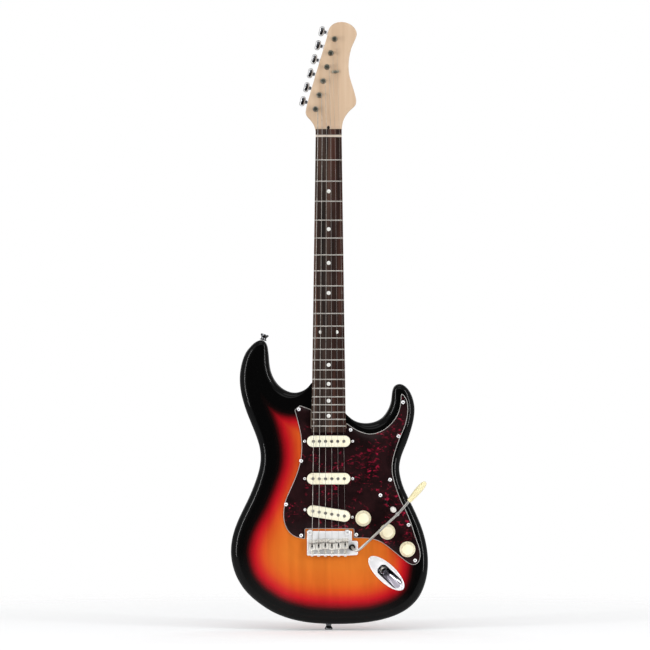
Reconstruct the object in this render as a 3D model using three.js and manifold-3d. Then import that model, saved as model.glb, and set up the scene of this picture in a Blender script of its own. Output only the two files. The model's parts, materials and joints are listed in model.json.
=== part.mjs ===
// Six-string electric guitar: double-cutaway body, bolt-on neck, three single-coil pickups,
// two-point tremolo bridge and six in-line tuners.
//
// The pieces are drawn lying face up: x to the treble side, y up the neck, z out of the face,
// with z = 0 halfway through the body. The group at the end stands the guitar upright,
// face towards -Y, on the outer face of its end strap button.
// Outlines give each point as [x, distance below the nut]; the headstock is above the nut,
// so its distances are negative.

import * as THREE from 'three';
import { mergeVertices } from 'three/addons/utils/BufferGeometryUtils.js';
import Module from 'manifold-3d';

const wasm = await Module();
wasm.setup();

// ---------------------------------------------------------------- driving dimensions, mm

const SCALE_LENGTH = 647.7;
const NUT_Y = 796;
const GAP = 0.3;

const FACE = 22.5;
const BACK = -FACE;
const EDGE_RADIUS = 8;

const POCKET_FLOOR = 6.5;
const HEEL_START = 396;
const HEEL_END = 470;
const BOARD_END = 476;
const BOARD_TIP = -13.6;
const BOARD_BOTTOM = 25.7;
const BOARD_TOP = 32;
const BOARD_RADIUS = 305;
const NECK_TOP = BOARD_BOTTOM - GAP;
const NECK_HALF_AT_NUT = 21.1;
const NECK_WIDENING = 0.0142;

const HEADSTOCK_FACE = 21.5;
const HEADSTOCK_BACK = 7;
const TUNER_LINE_TILT = 0.266;
const TUNER_PITCH = 23.5;
const FIRST_TUNER = [-21.3, -46.2];
const WORM_OFFSET = 7.5;
const WORM_Z = 1.2;
const BUTTON_REACH = 23.5;
const POST_TOP = 34.5;

const GUARD_BOTTOM = FACE + GAP;
const GUARD_TOP = GUARD_BOTTOM + 2.3;

const STRING_DIAMETERS = [1.07, 0.81, 0.61, 0.41, 0.28, 0.23];
const NUT_PITCH = 7;
const BRIDGE_PITCH = 10.7;
const STRING_CENTRE_AT_BRIDGE = 36.7;
const STRING_CENTRE_AT_NUT = 33.7;
const INTONATION = [4.4, 3.4, 2.4, 3.6, 2.6, 1.8];

const PLATE_BOTTOM = FACE + 1;
const PLATE_TOP = PLATE_BOTTOM + 2.6;
const PIVOT = [30.3, 638];
const ARM_SOCKET = [37.9, 662];

const PICKUPS = [
  { name: 'pickup_neck', below: 490.6, turn: 0, top: 31.8 },
  { name: 'pickup_middle', below: 551, turn: 0, top: 32.2 },
  { name: 'pickup_bridge', below: 607.3, turn: -0.157, top: 32.8 },
];
const POTS = [
  { name: 'volume', place: [55.8, 615.2] },
  { name: 'tone_neck', place: [94.8, 636.8] },
  { name: 'tone_middle', place: [127.3, 665.1] },
];
const SWITCH_PLACE = [97.4, 593.1];
const SWITCH_TURN = -0.839;
const SWITCH_PIVOT_Z = 10;
const SWITCH_REST_TILT = 0.454;
const JACK_PLACE = [93.2, 704];
const JACK_TURN = -0.757;
const HORN_BUTTON = [-103.2, 317.8];
const HORN_BUTTON_TILT = 0.3;

// ---------------------------------------------------------------- finishes

const finish = (color, roughness, metalness = 0) =>
  new THREE.MeshStandardMaterial({ color, roughness, metalness });

const SUNBURST = finish(0xc8562a, 0.12);
const MAPLE = finish(0xd8bb9c, 0.35);
const ROSEWOOD = finish(0x3b2f29, 0.55);
const BONE = finish(0xf1ead6, 0.4);
const CREAM = finish(0xf3ecc8, 0.35);
const TORTOISESHELL = finish(0x2a1214, 0.15);
const CHROME = finish(0xd4d2cf, 0.12, 1);
const STEEL = finish(0xa9a7a3, 0.3, 1);
const BLACK_PLASTIC = finish(0x151515, 0.4);

// ---------------------------------------------------------------- shapes

const at = ([x, below]) => new THREE.Vector2(x, NUT_Y - below);

const raised = ([x, below], z) => new THREE.Vector3(x, NUT_Y - below, z);

function smooth(points, stepsBetween) {
  const line = points.map((point) => raised(point, 0));
  const curve = new THREE.CatmullRomCurve3(line, false, 'centripetal');
  return curve
    .getPoints((points.length - 1) * stepsBetween)
    .map(({ x, y }) => new THREE.Vector2(x, y));
}

function capsule(centre, length, width, turn = 0, arcSteps = 6) {
  const points = [];
  for (const side of [1, -1]) {
    for (let i = 0; i <= arcSteps; i += 1) {
      const angle = ((i / arcSteps - 0.5) * Math.PI);
      const x = side * ((length - width) / 2 + (Math.cos(angle) * width) / 2);
      const y = (side * Math.sin(angle) * width) / 2;
      points.push(new THREE.Vector2(x, y).rotateAround(new THREE.Vector2(), turn).add(centre));
    }
  }
  return points;
}

function capsuleBetween(a, b, width) {
  const [from, to] = [at(a), at(b)];
  const centre = from.clone().add(to).multiplyScalar(0.5);
  const run = to.clone().sub(from);
  return capsule(centre, run.length() + width, width, Math.atan2(run.y, run.x));
}

function roundedBox(left, right, low, high, radius, arcSteps = 3) {
  const corners = [
    [right - radius, high - radius, 0],
    [left + radius, high - radius, 1],
    [left + radius, low + radius, 2],
    [right - radius, low + radius, 3],
  ];
  return corners.flatMap(([x, y, quarter]) =>
    Array.from({ length: arcSteps + 1 }, (_, i) => {
      const angle = ((quarter + i / arcSteps) * Math.PI) / 2;
      return new THREE.Vector2(x + radius * Math.cos(angle), y + radius * Math.sin(angle));
    }),
  );
}

function slab(points, bottom, top, { bevel = 0, bevelSteps = 1, holes = [] } = {}) {
  const shape = new THREE.Shape(points);
  shape.holes = holes.map((hole) => new THREE.Path(hole));
  const geometry = new THREE.ExtrudeGeometry(shape, {
    depth: top - bottom - 2 * bevel,
    bevelEnabled: bevel > 0,
    bevelThickness: bevel,
    bevelSize: bevel,
    bevelOffset: -bevel,
    bevelSegments: bevelSteps,
  });
  return geometry.translate(0, 0, bottom + bevel);
}

// A turned piece about the z axis; its profile is a list of [radius, z].
function turned(profile, sides) {
  const points = profile.map(([radius, z]) => new THREE.Vector2(radius, z));
  return new THREE.LatheGeometry(points, sides).rotateX(Math.PI / 2);
}

const drill = (radius, bottom, top, sides = 12) =>
  turned([[0, bottom], [radius, bottom], [radius, top], [0, top]], sides);

// A closed skin over rings of equal length, each ring lying at one y.
function loft(rings) {
  const flatten = (ring) => ring.map(({ x, z }) => new THREE.Vector2(x, z));
  const rising = rings[0][0].y < rings.at(-1)[0].y ? rings : rings.toReversed();
  const clockwise = THREE.ShapeUtils.isClockWise(flatten(rings[0]));
  const skins = clockwise ? rising.map((ring) => ring.toReversed()) : rising;
  const count = skins[0].length;
  const triangles = [];
  for (let low = 0; low < (skins.length - 1) * count; low += count) {
    for (let i = 0; i < count; i += 1) {
      const [a, b] = [low + i, low + ((i + 1) % count)];
      triangles.push(a, b + count, b, a, a + count, b + count);
    }
  }
  const cap = (skin, first, facesDown) => {
    const outline = flatten(skin);
    for (const corners of THREE.ShapeUtils.triangulateShape(outline, [])) {
      const facesLow = !THREE.ShapeUtils.isClockWise(corners.map((corner) => outline[corner]));
      const ordered = facesLow === facesDown ? corners : corners.toReversed();
      triangles.push(...ordered.map((corner) => first + corner));
    }
  };
  cap(skins[0], 0, true);
  cap(skins.at(-1), (skins.length - 1) * count, false);
  const positions = skins.flat().flatMap(({ x, y, z }) => [x, y, z]);
  const geometry = new THREE.BufferGeometry();
  geometry.setAttribute('position', new THREE.Float32BufferAttribute(positions, 3));
  geometry.setIndex(triangles);
  return geometry;
}

// ---------------------------------------------------------------- joining and cutting

function toSolid(geometry) {
  const bare = new THREE.BufferGeometry();
  bare.setAttribute('position', geometry.getAttribute('position'));
  bare.setIndex(geometry.getIndex());
  const merged = mergeVertices(bare, 1e-4);
  const corners = merged.getIndex().array;
  const triangles = [];
  for (let i = 0; i < corners.length; i += 3) {
    const [a, b, c] = corners.slice(i, i + 3);
    if (a !== b && b !== c && c !== a) triangles.push(a, b, c);
  }
  const vertProperties = merged.getAttribute('position').array;
  const mesh = new wasm.Mesh({ numProp: 3, vertProperties, triVerts: Uint32Array.from(triangles) });
  return new wasm.Manifold(mesh);
}

function toGeometry(solid) {
  const { vertProperties, triVerts } = solid.getMesh();
  const geometry = new THREE.BufferGeometry();
  geometry.setAttribute('position', new THREE.BufferAttribute(vertProperties, 3));
  geometry.setIndex(new THREE.BufferAttribute(triVerts, 1));
  return geometry;
}

const join = (...geometries) =>
  toGeometry(geometries.map(toSolid).reduce((whole, piece) => whole.add(piece)));

const cut = (blank, ...tools) =>
  toGeometry(tools.map(toSolid).reduce((rest, tool) => rest.subtract(tool), toSolid(blank)));

const common = (one, other) => toGeometry(toSolid(one).intersect(toSolid(other)));

// ---------------------------------------------------------------- measures used by several pieces

const neckHalfWidth = (below) => NECK_HALF_AT_NUT + NECK_WIDENING * Math.max(below, 0);

const boardDrop = (x) => (x * x) / (2 * BOARD_RADIUS);

const stringX = (index, pitch) => (index - 2.5) * pitch;

const saddleLine = (index) => SCALE_LENGTH + INTONATION[index];

const stringAtBridge = (index) =>
  STRING_CENTRE_AT_BRIDGE - boardDrop(stringX(index, BRIDGE_PITCH));

const stringAtNut = (index) => STRING_CENTRE_AT_NUT - boardDrop(stringX(index, NUT_PITCH));

function tunerPlace(index) {
  const [x, below] = FIRST_TUNER;
  const along = index * TUNER_PITCH;
  return [x + along * Math.sin(TUNER_LINE_TILT), below - along * Math.cos(TUNER_LINE_TILT)];
}

// ---------------------------------------------------------------- body

const TREBLE_EDGE = [
  [27, 446], [38.5, 456], [48.2, 460.5], [58, 462], [67.6, 461.4], [77.3, 458.7], [87, 452.6],
  [96.7, 439.2], [101.4, 424.8], [103, 411], [106.8, 401.5], [116, 398.3], [125.8, 403.4],
  [133.8, 415.2], [138.2, 430], [138.9, 444.2], [135.7, 463.6], [126.5, 492.7], [118.2, 513.5],
  [114.3, 533], [116.8, 552], [123.1, 570.3], [137.3, 599.4], [149.8, 628.5], [157.9, 657.6],
  [160.8, 686.6], [157.3, 716], [145.5, 744], [124.8, 764], [97, 776.6], [67, 783.3],
];
const BOTTOM_EDGE = [[34, 786.3], [0, 786.6], [-32, 784.4]];
const BASS_EDGE = [
  [-60, 779], [-88, 768.8], [-112, 754], [-134, 734.4], [-150.5, 708], [-158.2, 676],
  [-155.9, 647], [-146.6, 618.8], [-128.1, 580], [-113.9, 542], [-110.1, 520], [-112, 499.5],
  [-120.8, 473.3], [-132.5, 444.2], [-141.1, 415.2], [-143.9, 391], [-141.2, 366.7],
  [-134.2, 347.6], [-126.4, 337.6], [-118, 330.2], [-109, 327], [-101.9, 331], [-98.6, 340],
  [-96.7, 357], [-93.6, 378], [-84.8, 395.8], [-70, 408.6], [-54, 412.6], [-39, 408],
  [-31.5, 401.5],
];

// The scoop is a slice of a large drum laid across the back at the waist.
function bellyScoop() {
  const radius = 330;
  const tilt = 0.213;
  const drum = new THREE.CylinderGeometry(radius, radius, 260, 96).rotateZ(Math.PI / 2);
  return drum
    .translate(-60, 0, -radius)
    .rotateY(tilt)
    .translate(-45, NUT_Y - 500, BACK);
}

// The slope where the forearm rests falls away to the bass side of a leaning crease line.
function forearmSlope() {
  const tilt = -0.165;
  const lean = 0.2;
  return new THREE.BoxGeometry(200, 360, 60)
    .translate(-100, -20, 30)
    .rotateY(tilt)
    .rotateZ(lean)
    .translate(-84, NUT_Y - 640, FACE);
}

const controlCavity = () => [
  capsuleBetween(POTS[0].place, POTS[1].place, 28),
  capsuleBetween(POTS[1].place, POTS[2].place, 28),
  capsuleBetween(SWITCH_PLACE, POTS[1].place, 26),
  capsule(at(SWITCH_PLACE), 52, 20, SWITCH_TURN),
].map((points) => slab(points, -13.5, FACE + 1));

function body() {
  const edge = smooth([...TREBLE_EDGE, ...BOTTOM_EDGE, ...BASS_EDGE], 2);
  const mouth = [at([-28, HEEL_START]), at([26.5, HEEL_START])];
  const blank = slab([...edge, ...mouth], BACK, FACE, { bevel: EDGE_RADIUS, bevelSteps: 3 });
  const heel = slab(
    [at([-28, 455]), at([26.5, 455]), ...mouth.toReversed()],
    BACK, FACE, { bevel: 1.5 },
  );
  const halfAt = (below) => neckHalfWidth(below) + GAP;
  const pocket = slab(
    [[-1, 380], [1, 380], [1, HEEL_END + GAP], [-1, HEEL_END + GAP]]
      .map(([side, below]) => at([side * halfAt(below), below])),
    POCKET_FLOOR, FACE + 1,
  );
  const pickupRouts = PICKUPS.map(({ below, turn }) =>
    slab(capsule(at([0, below]), 88, 24, turn), 6, FACE + 1));
  const wireChannel = slab(capsuleBetween([28, 490], [28, 605], 12), 6.1, FACE + 1);
  const blockSlot = slab(roundedBox(-36, 36, NUT_Y - 670, NUT_Y - 645, 4), BACK - 1, FACE + 1);
  const springCavity = slab(roundedBox(-29, 29, NUT_Y - 650, NUT_Y - 548, 6), BACK - 1, -6.5);
  const studHoles = [-1, 1].map((side) => {
    const { x, y } = at([side * PIVOT[0], PIVOT[1]]);
    return drill(3.7, 2, FACE + 1).translate(x, y, 0);
  });
  const { x: jackX, y: jackY } = at(JACK_PLACE);
  const jackRout = slab(jackRecess(1), -9, FACE + 1).rotateZ(JACK_TURN).translate(jackX, jackY, 0);
  const wireHole = drill(4, 0, 60, 10)
    .rotateX(-Math.PI / 2)
    .rotateZ(-0.28)
    .translate(90, NUT_Y - 700, -3);
  return cut(
    join(blank, heel), pocket, ...pickupRouts, wireChannel, ...controlCavity(), blockSlot,
    springCavity, ...studHoles, jackRout, wireHole, bellyScoop(), forearmSlope(),
  );
}

const neckPlate = () =>
  slab(roundedBox(-25.5, 25.5, NUT_Y - 466, NUT_Y - 402, 5), BACK - GAP - 2, BACK - GAP);

function backCover() {
  const slot = capsule(at([0, 652]), 66, 12);
  const plate = roundedBox(-43, 43, NUT_Y - 682, NUT_Y - 538, 12);
  return slab(plate, BACK - GAP - 1.6, BACK - GAP, { holes: [slot] });
}

function strapButton() {
  return turned([
    [0, 0], [6.4, 0], [7, 0.6], [7, 2.2], [5, 3.8], [4.3, 5.6], [4.8, 7.4], [6, 8.7], [6, 9.1],
    [0, 9.1],
  ], 16);
}

// ---------------------------------------------------------------- neck

const NECK_STATIONS = [
  // below the nut, top z, back z, squareness of the back
  [-40, 21.5, 7.2, 3.2],
  [-26, 21.5, 8.4, 2.8],
  [-20.5, 22.2, 9.2, 2.6],
  [-16.5, 23.6, 10, 2.4],
  [BOARD_TIP, NECK_TOP, 10.5, 2.3],
  [0, NECK_TOP, 11.3, 2.3],
  [30, NECK_TOP, 11.4, 2.3],
  [323.9, NECK_TOP, 9.6, 2.3],
  [355, NECK_TOP, 9.2, 2.5],
  [378, NECK_TOP, 8, 4],
  [HEEL_START, NECK_TOP, POCKET_FLOOR + GAP, 12],
  [HEEL_END, NECK_TOP, POCKET_FLOOR + GAP, 14],
];

function neckRing([below, top, back, squareness]) {
  const half = below < -30 ? 18 : neckHalfWidth(below);
  const shoulder = Math.min(3, (top - back) * 0.2);
  const steps = 14;
  const ring = [raised([-half, below], top), raised([half, below], top)];
  for (let i = 0; i <= steps; i += 1) {
    const angle = (i / steps) * Math.PI;
    const [c, s] = [Math.cos(angle), Math.sin(angle)];
    const x = half * Math.sign(c) * Math.abs(c) ** (2 / squareness);
    const depth = (top - shoulder - back) * s ** (2 / squareness);
    ring.push(raised([x, below], top - shoulder - depth));
  }
  return ring;
}

const HEADSTOCK_SCROLL = [[-21.2, -11], [-24.2, -20.5], [-30, -28.8], [-35.6, -35.2], [-37.4, -41]];
const HEADSTOCK_TIP = [
  [-2.6, -164], [1, -177], [9, -184.6], [20, -187], [32, -184.8], [42, -177], [45.6, -168],
  [43.2, -159.5], [37.4, -146.5], [33.6, -131], [32.3, -115], [33.6, -100.5], [38.2, -84.5],
  [43, -68.5], [44.6, -58], [42.8, -52], [35.5, -45], [28.3, -36.5], [23.6, -27], [21.5, -17],
  [21.2, -11],
];

function neck() {
  const shaft = loft(NECK_STATIONS.map(neckRing));
  const outline = [...smooth(HEADSTOCK_SCROLL, 2), ...smooth(HEADSTOCK_TIP, 2)];
  const headstock = slab(outline, HEADSTOCK_BACK, HEADSTOCK_FACE, { bevel: 1.2 });
  const postBores = STRING_DIAMETERS.map((_, index) => {
    const { x, y } = at(tunerPlace(index));
    return drill(4.9, 0, HEADSTOCK_FACE + 1).translate(x, y, 0);
  });
  const adjusterHole = drill(3.2, 0, 30, 10)
    .rotateX(-Math.PI / 2)
    .translate(0, NUT_Y - 8, 21.6);
  return cut(join(shaft, headstock), ...postBores, adjusterHole);
}

function fretboard() {
  const steps = 6;
  const ringAt = (below) => {
    const half = neckHalfWidth(below);
    const ring = [raised([half, below], BOARD_BOTTOM), raised([-half, below], BOARD_BOTTOM)];
    for (let i = 0; i <= steps; i += 1) {
      const x = half * ((2 * i) / steps - 1);
      ring.push(raised([x, below], BOARD_TOP - boardDrop(x)));
    }
    return ring;
  };
  const nutSlot = new THREE.BoxGeometry(60, 4.4, 10).translate(0, NUT_Y + 2.5, 33.4);
  return cut(loft([BOARD_TIP, 0, BOARD_END].map(ringAt)), nutSlot);
}

function nut() {
  const half = NECK_HALF_AT_NUT;
  const top = (x) => STRING_CENTRE_AT_NUT + 0.6 - boardDrop(x);
  const outline = [[half, 28.7], [-half, 28.7], [-half, top(half)]];
  STRING_DIAMETERS.forEach((diameter, index) => {
    const x = stringX(index, NUT_PITCH);
    const halfSlot = diameter / 2 + GAP;
    const floor = stringAtNut(index) - halfSlot;
    outline.push([x - halfSlot, top(x)], [x - halfSlot, floor]);
    outline.push([x + halfSlot, floor], [x + halfSlot, top(x)]);
  });
  outline.push([half, top(half)]);
  return loft([-4.4, -0.6].map((below) => outline.map(([x, z]) => raised([x, below], z))));
}

// ---------------------------------------------------------------- tuners

// Each tuner is drawn about its post, with its worm shaft leaving along -x.
function tunerHousing() {
  const gearCase = slab(roundedBox(-9, 7.5, -8, 12, 3), -5, HEADSTOCK_BACK - GAP, { bevel: 1.2 });
  const bushing = drill(4.6, 6, HEADSTOCK_FACE + 1.6, 10);
  const sleeve = drill(3.4, 0, 8, 8)
    .rotateY(-Math.PI / 2)
    .translate(-8, WORM_OFFSET, WORM_Z);
  const postBore = drill(3.3, -1.3, HEADSTOCK_FACE + 3, 10);
  const wormBore = drill(2.1, 0, 14, 8)
    .rotateY(-Math.PI / 2)
    .translate(-4, WORM_OFFSET, WORM_Z);
  return cut(join(gearCase, bushing, sleeve), postBore, wormBore);
}

function tunerPost() {
  return turned([
    [0, -1], [3, -1], [3, 25], [2.3, 27], [2.3, 29.5], [3, 31.5], [3, POST_TOP - 0.6],
    [2.5, POST_TOP], [0, POST_TOP],
  ], 10);
}

function tunerButton() {
  const shaft = drill(1.8, 0, BUTTON_REACH - 6, 10)
    .rotateY(-Math.PI / 2)
    .translate(-4.4, 0, 0);
  const kidney = [
    [-4.6, 0], [-4.4, 5], [-1.5, 8.2], [2.6, 7.6], [4.6, 3.4], [4.3, 0], [4.6, -3.4],
    [2.6, -7.6], [-1.5, -8.2], [-4.4, -5],
  ].map(([x, y]) => new THREE.Vector2(x, y));
  const paddle = slab(kidney, -3.6, 3.6, { bevel: 1.6, bevelSteps: 2 });
  return join(shaft, paddle.translate(-BUTTON_REACH, 0, 0));
}

// ---------------------------------------------------------------- pickguard and electronics

const GUARD_EDGE_BASS = [
  [-40.7, 648.3], [-54, 645], [-64, 637.6], [-71, 624.6], [-73.2, 608], [-70.4, 588.3],
  [-63.8, 571.8], [-52.6, 546], [-46, 523], [-44, 505.9], [-44.2, 489.4], [-47.3, 470],
  [-52, 451.5], [-55.2, 440],
];
const GUARD_EDGE_HORN = [
  [30.1, 462.2], [41.3, 469.8], [54.2, 476], [69.1, 478.5], [85.7, 473.6], [100.6, 462.2],
  [110, 449.3], [115.3, 434], [117, 414.2],
];
const GUARD_EDGE_TREBLE = [
  [118.6, 413.6], [124, 419.5], [127.8, 429], [127.6, 449], [122.9, 467.8], [115.5, 485],
  [109.4, 502], [104.8, 518], [103, 532.3], [104, 546], [109.5, 566], [117, 585.8],
  [124.6, 601.5], [132.4, 619.6], [139.7, 642.3], [145.8, 659.8], [148.4, 673.2], [146.6, 684],
  [140, 690.3], [132, 689.2], [124.4, 684.6], [112.9, 675.3], [100.4, 665], [88.2, 655.8],
  [75.7, 650.1], [62.3, 647.5], [44.8, 646.9],
];

function pickguard() {
  const notchHalf = neckHalfWidth(HEEL_END) + GAP;
  const outline = [
    at([-46.4, 432.6]), at([-neckHalfWidth(440) - GAP, 439.6]), at([-notchHalf, HEEL_END + GAP]),
    at([notchHalf, HEEL_END + GAP]), at([neckHalfWidth(460) + GAP, 460.8]),
    ...smooth(GUARD_EDGE_HORN, 1), ...smooth(GUARD_EDGE_TREBLE, 2),
    at([40.5, 646.9]), at([40.5, 632.2]), at([-38, 632.2]), at([-38, 648.3]),
    ...smooth(GUARD_EDGE_BASS, 2),
  ];
  const holes = [
    ...PICKUPS.map(({ below, turn }) => capsule(at([0, below]), 71, 19.2, turn)),
    ...POTS.map(({ place }) => capsule(at(place), 9.8, 9.6)),
    capsule(at(SWITCH_PLACE), 23, 3.4, SWITCH_TURN, 4),
  ];
  return slab(outline, GUARD_BOTTOM, GUARD_TOP, { holes });
}

function pickup({ top }) {
  const origin = new THREE.Vector2();
  const cover = slab(capsule(origin, 70.2, 18.4, 0, 8), 13, top, { bevel: 1.3, bevelSteps: 2 });
  const bobbinPlate = slab(capsule(origin, 84, 20), 10, 14);
  return join(cover, bobbinPlate);
}

function pot() {
  return turned([
    [0, 8.5], [11.6, 8.5], [11.6, 18.5], [10.8, 19.3], [4.4, 19.3], [4.4, GUARD_TOP + 0.5],
    [3.3, GUARD_TOP + 0.5], [3.3, 11.5], [0, 11.5],
  ], 14);
}

function knob() {
  return turned([
    [0, 11.8], [3, 11.8], [3, GUARD_TOP + 0.8], [12.4, GUARD_TOP + 0.8], [12.75, GUARD_TOP + 1.6],
    [12.3, GUARD_TOP + 3], [10.3, GUARD_TOP + 5.2], [9.6, GUARD_TOP + 14.8],
    [8.6, GUARD_TOP + 15.8], [0, GUARD_TOP + 15.8],
  ], 18);
}

// The switch is drawn about its centre, with its slot along x.
function switchBody() {
  const frame = new THREE.BoxGeometry(42, 12, 20).translate(0, 0, FACE - GAP - 10);
  const slot = new THREE.BoxGeometry(34, 3.4, 20).translate(0, 0, FACE - 7);
  return cut(frame, slot);
}

// The lever is drawn upright about its own pivot.
function switchLever() {
  const blade = slab(roundedBox(-2, 2, -3, 21, 1, 2), -1.2, 1.2).rotateX(Math.PI / 2);
  const tip = turned([
    [0, 19.4], [3.6, 19.4], [4.3, 20.8], [4.5, 25], [3.7, 28.8], [2, 30.4], [0, 30.8],
  ], 12);
  return join(blade, tip);
}

// ---------------------------------------------------------------- output jack

const JACK_WALL_TOP = [-15.5, FACE + 2];
const JACK_WALL_FOOT = [-2, 8.5];
const JACK_FLOOR_END = [31, FACE + 2];

// The plate is drawn about its centre with its long axis along x.
function jackRecess(margin) {
  return capsule(new THREE.Vector2(6.5, 0), 50 + 2 * margin, 20 + 2 * margin);
}

function jackWedge(profile, margin) {
  const ring = (y) => profile.map(([x, z]) => new THREE.Vector3(x, y, z));
  return common(loft([ring(-15), ring(15)]), slab(jackRecess(margin), 0, FACE + 3));
}

const jackWallAngle = Math.atan2(
  JACK_WALL_TOP[1] - JACK_WALL_FOOT[1], JACK_WALL_FOOT[0] - JACK_WALL_TOP[0],
);

// Turns a piece on the z axis to lie along the socket, leaving through the slanted wall.
const alongSocket = (geometry) => geometry
  .rotateY(jackWallAngle)
  .translate(-7.4, 0, JACK_WALL_TOP[1] - 8.1 * Math.tan(jackWallAngle));

function jackPlate() {
  const rim = new THREE.EllipseCurve(0, 0, 37.5, 15.2).getPoints(28).slice(1);
  const plate = slab(rim, FACE + GAP, FACE + GAP + 1.5);
  const cup = jackWedge([[-17.6, FACE + 1], [-3, 6.6], [-1, 6.6], [32, FACE + 1]], 0.5);
  const hollow = jackWedge([JACK_WALL_TOP, JACK_WALL_FOOT, JACK_FLOOR_END], -0.8);
  return cut(join(plate, cup), hollow, alongSocket(drill(5, -8, 8)));
}

function jackSocket() {
  return alongSocket(turned([
    [3.4, -10], [4.7, -10], [4.7, 0.3], [7, 0.3], [7, 2.2], [4.7, 2.6], [4.7, 3.6], [3.4, 3.6],
    [3.4, -10],
  ], 12));
}

// ---------------------------------------------------------------- bridge

function bridgePlate() {
  const outline = [
    [-35, 675], [-35, 635.7], [37.6, 635.7], [37.6, 651.5], [45.5, 651.5], [47.4, 653.5],
    [47.4, 672.5], [45.5, 674.6], [36, 675],
  ].map(at);
  const plate = slab(outline, PLATE_BOTTOM, PLATE_TOP);
  const lip = new THREE.BoxGeometry(69, 2.4, 9).translate(0, NUT_Y - 673.7, PLATE_TOP + 4.4);
  const socket = at(ARM_SOCKET);
  const collar = drill(5.2, PLATE_TOP - 1, PLATE_TOP + 3.5).translate(socket.x, socket.y, 0);
  const socketBore = drill(2.9, PLATE_BOTTOM - 1, PLATE_TOP + 5).translate(socket.x, socket.y, 0);
  const notches = [-1, 1].map((side) => {
    const { x, y } = at([side * PIVOT[0], PIVOT[1] - 4]);
    return slab(capsule(new THREE.Vector2(x, y), 15.4, 7.4, Math.PI / 2), 20, 30);
  });
  return cut(join(plate, lip, collar), socketBore, ...notches);
}

function pivotStud() {
  return turned([
    [0, 3], [3.3, 3], [3.3, PLATE_TOP + 1], [4.2, PLATE_TOP + 1], [4.2, PLATE_TOP + 2.4],
    [3.4, PLATE_TOP + 3], [0, PLATE_TOP + 3],
  ], 12);
}

const tremBlock = () =>
  slab(roundedBox(-33, 33, NUT_Y - 657, NUT_Y - 646, 1.5, 1), -14, PLATE_BOTTOM - GAP);

// A saddle is drawn about its string's contact point, its length along y.
function saddle(index) {
  const crest = stringAtBridge(index) - STRING_DIAMETERS[index] / 2 - GAP;
  const sole = PLATE_TOP + 1.8;
  const profile = [
    [2.2, sole], [2.2, crest - 2.4], [1, crest - 0.3], [0, crest], [-1.8, crest - 0.5],
    [-4, crest - 2], [-14.5, crest - 2], [-14.5, sole],
  ];
  const ring = (x) => profile.map(([y, z]) => new THREE.Vector3(y, x, z));
  const block = loft([ring(-5.1), ring(5.1)]).rotateZ(Math.PI / 2);
  const stringSlot = slab(capsule(new THREE.Vector2(0, -6.2), 7, 2.6, Math.PI / 2, 3), 20, 40);
  const feet = [-3.4, 3.4].map((x) =>
    drill(1.3, PLATE_TOP + GAP, sole + 1, 6).translate(x, -3, 0));
  return cut(join(block, ...feet), stringSlot);
}

function tremoloArm() {
  const socket = raised(ARM_SOCKET, 0);
  const bends = [
    [37.9, 662, 25.4], [37.9, 662, 33], [40.5, 662.3, 39], [48, 661.5, 43.5], [58.5, 653.5, 46.5],
    [79.9, 635.1, 49.5], [98.5, 618.6, 51.5], [111, 607.4, 52.5], [131, 584.6, 53],
  ].map(([x, below, z]) => raised([x, below], z));
  const path = new THREE.CatmullRomCurve3(bends, false, 'centripetal');
  const section = new THREE.Shape(capsule(new THREE.Vector2(), 5, 4.99, 0, 3));
  const rod = new THREE.ExtrudeGeometry(section, { steps: 20, extrudePath: path });
  const tip = turned([
    [0, -3], [3.6, -3], [4.4, 2], [5.4, 18], [5, 30], [3.4, 37], [0, 38.6],
  ], 12);
  const end = bends.at(-1);
  const heading = path.getTangent(1);
  tip.applyQuaternion(new THREE.Quaternion().setFromUnitVectors(new THREE.Vector3(0, 0, 1), heading));
  return join(rod, tip.translate(end.x, end.y, end.z)).translate(-socket.x, -socket.y, 0);
}

function tremoloSpring() {
  return drill(3.6, 0, 80, 8).rotateX(-Math.PI / 2);
}

// ---------------------------------------------------------------- strings

function string(index) {
  const radius = STRING_DIAMETERS[index] / 2;
  const [postX, postBelow] = tunerPlace(index);
  const nutX = stringX(index, NUT_PITCH);
  const bends = [
    [stringX(index, BRIDGE_PITCH), saddleLine(index), stringAtBridge(index)],
    [nutX, -0.6, stringAtNut(index)],
    [nutX, -4.4, stringAtNut(index) - 0.1],
    [postX + 3.2 + radius, postBelow, 28.4],
  ];
  return loft(bends.map(([x, below, z]) =>
    Array.from({ length: 8 }, (_, i) => {
      const angle = (i / 8) * 2 * Math.PI;
      return raised([x + radius * Math.cos(angle), below], z + radius * Math.sin(angle));
    })));
}

// ---------------------------------------------------------------- assembly

const guitar = new THREE.Group();
guitar.rotation.x = Math.PI / 2;

function add(parent, name, geometry, material, place = [0, 0, 0]) {
  const mesh = new THREE.Mesh(geometry, material);
  mesh.name = name;
  mesh.position.set(...place);
  parent.add(mesh);
  return mesh;
}

const placeOf = (point, z = 0) => raised(point, z).toArray();

add(guitar, 'body', body(), SUNBURST);
add(guitar, 'neck_plate', neckPlate(), CHROME);
add(guitar, 'back_cover', backCover(), BLACK_PLASTIC);
add(guitar, 'strap_button_end', strapButton(), CHROME).rotation.x = -Math.PI / 2;
const intoHorn = new THREE.Vector3(-Math.sin(HORN_BUTTON_TILT), -Math.cos(HORN_BUTTON_TILT), 0);
add(guitar, 'strap_button_horn', strapButton(), CHROME, placeOf(HORN_BUTTON))
  .quaternion.setFromUnitVectors(new THREE.Vector3(0, 0, 1), intoHorn);

add(guitar, 'neck', neck(), MAPLE);
add(guitar, 'fretboard', fretboard(), ROSEWOOD);
add(guitar, 'nut', nut(), BONE);

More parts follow.
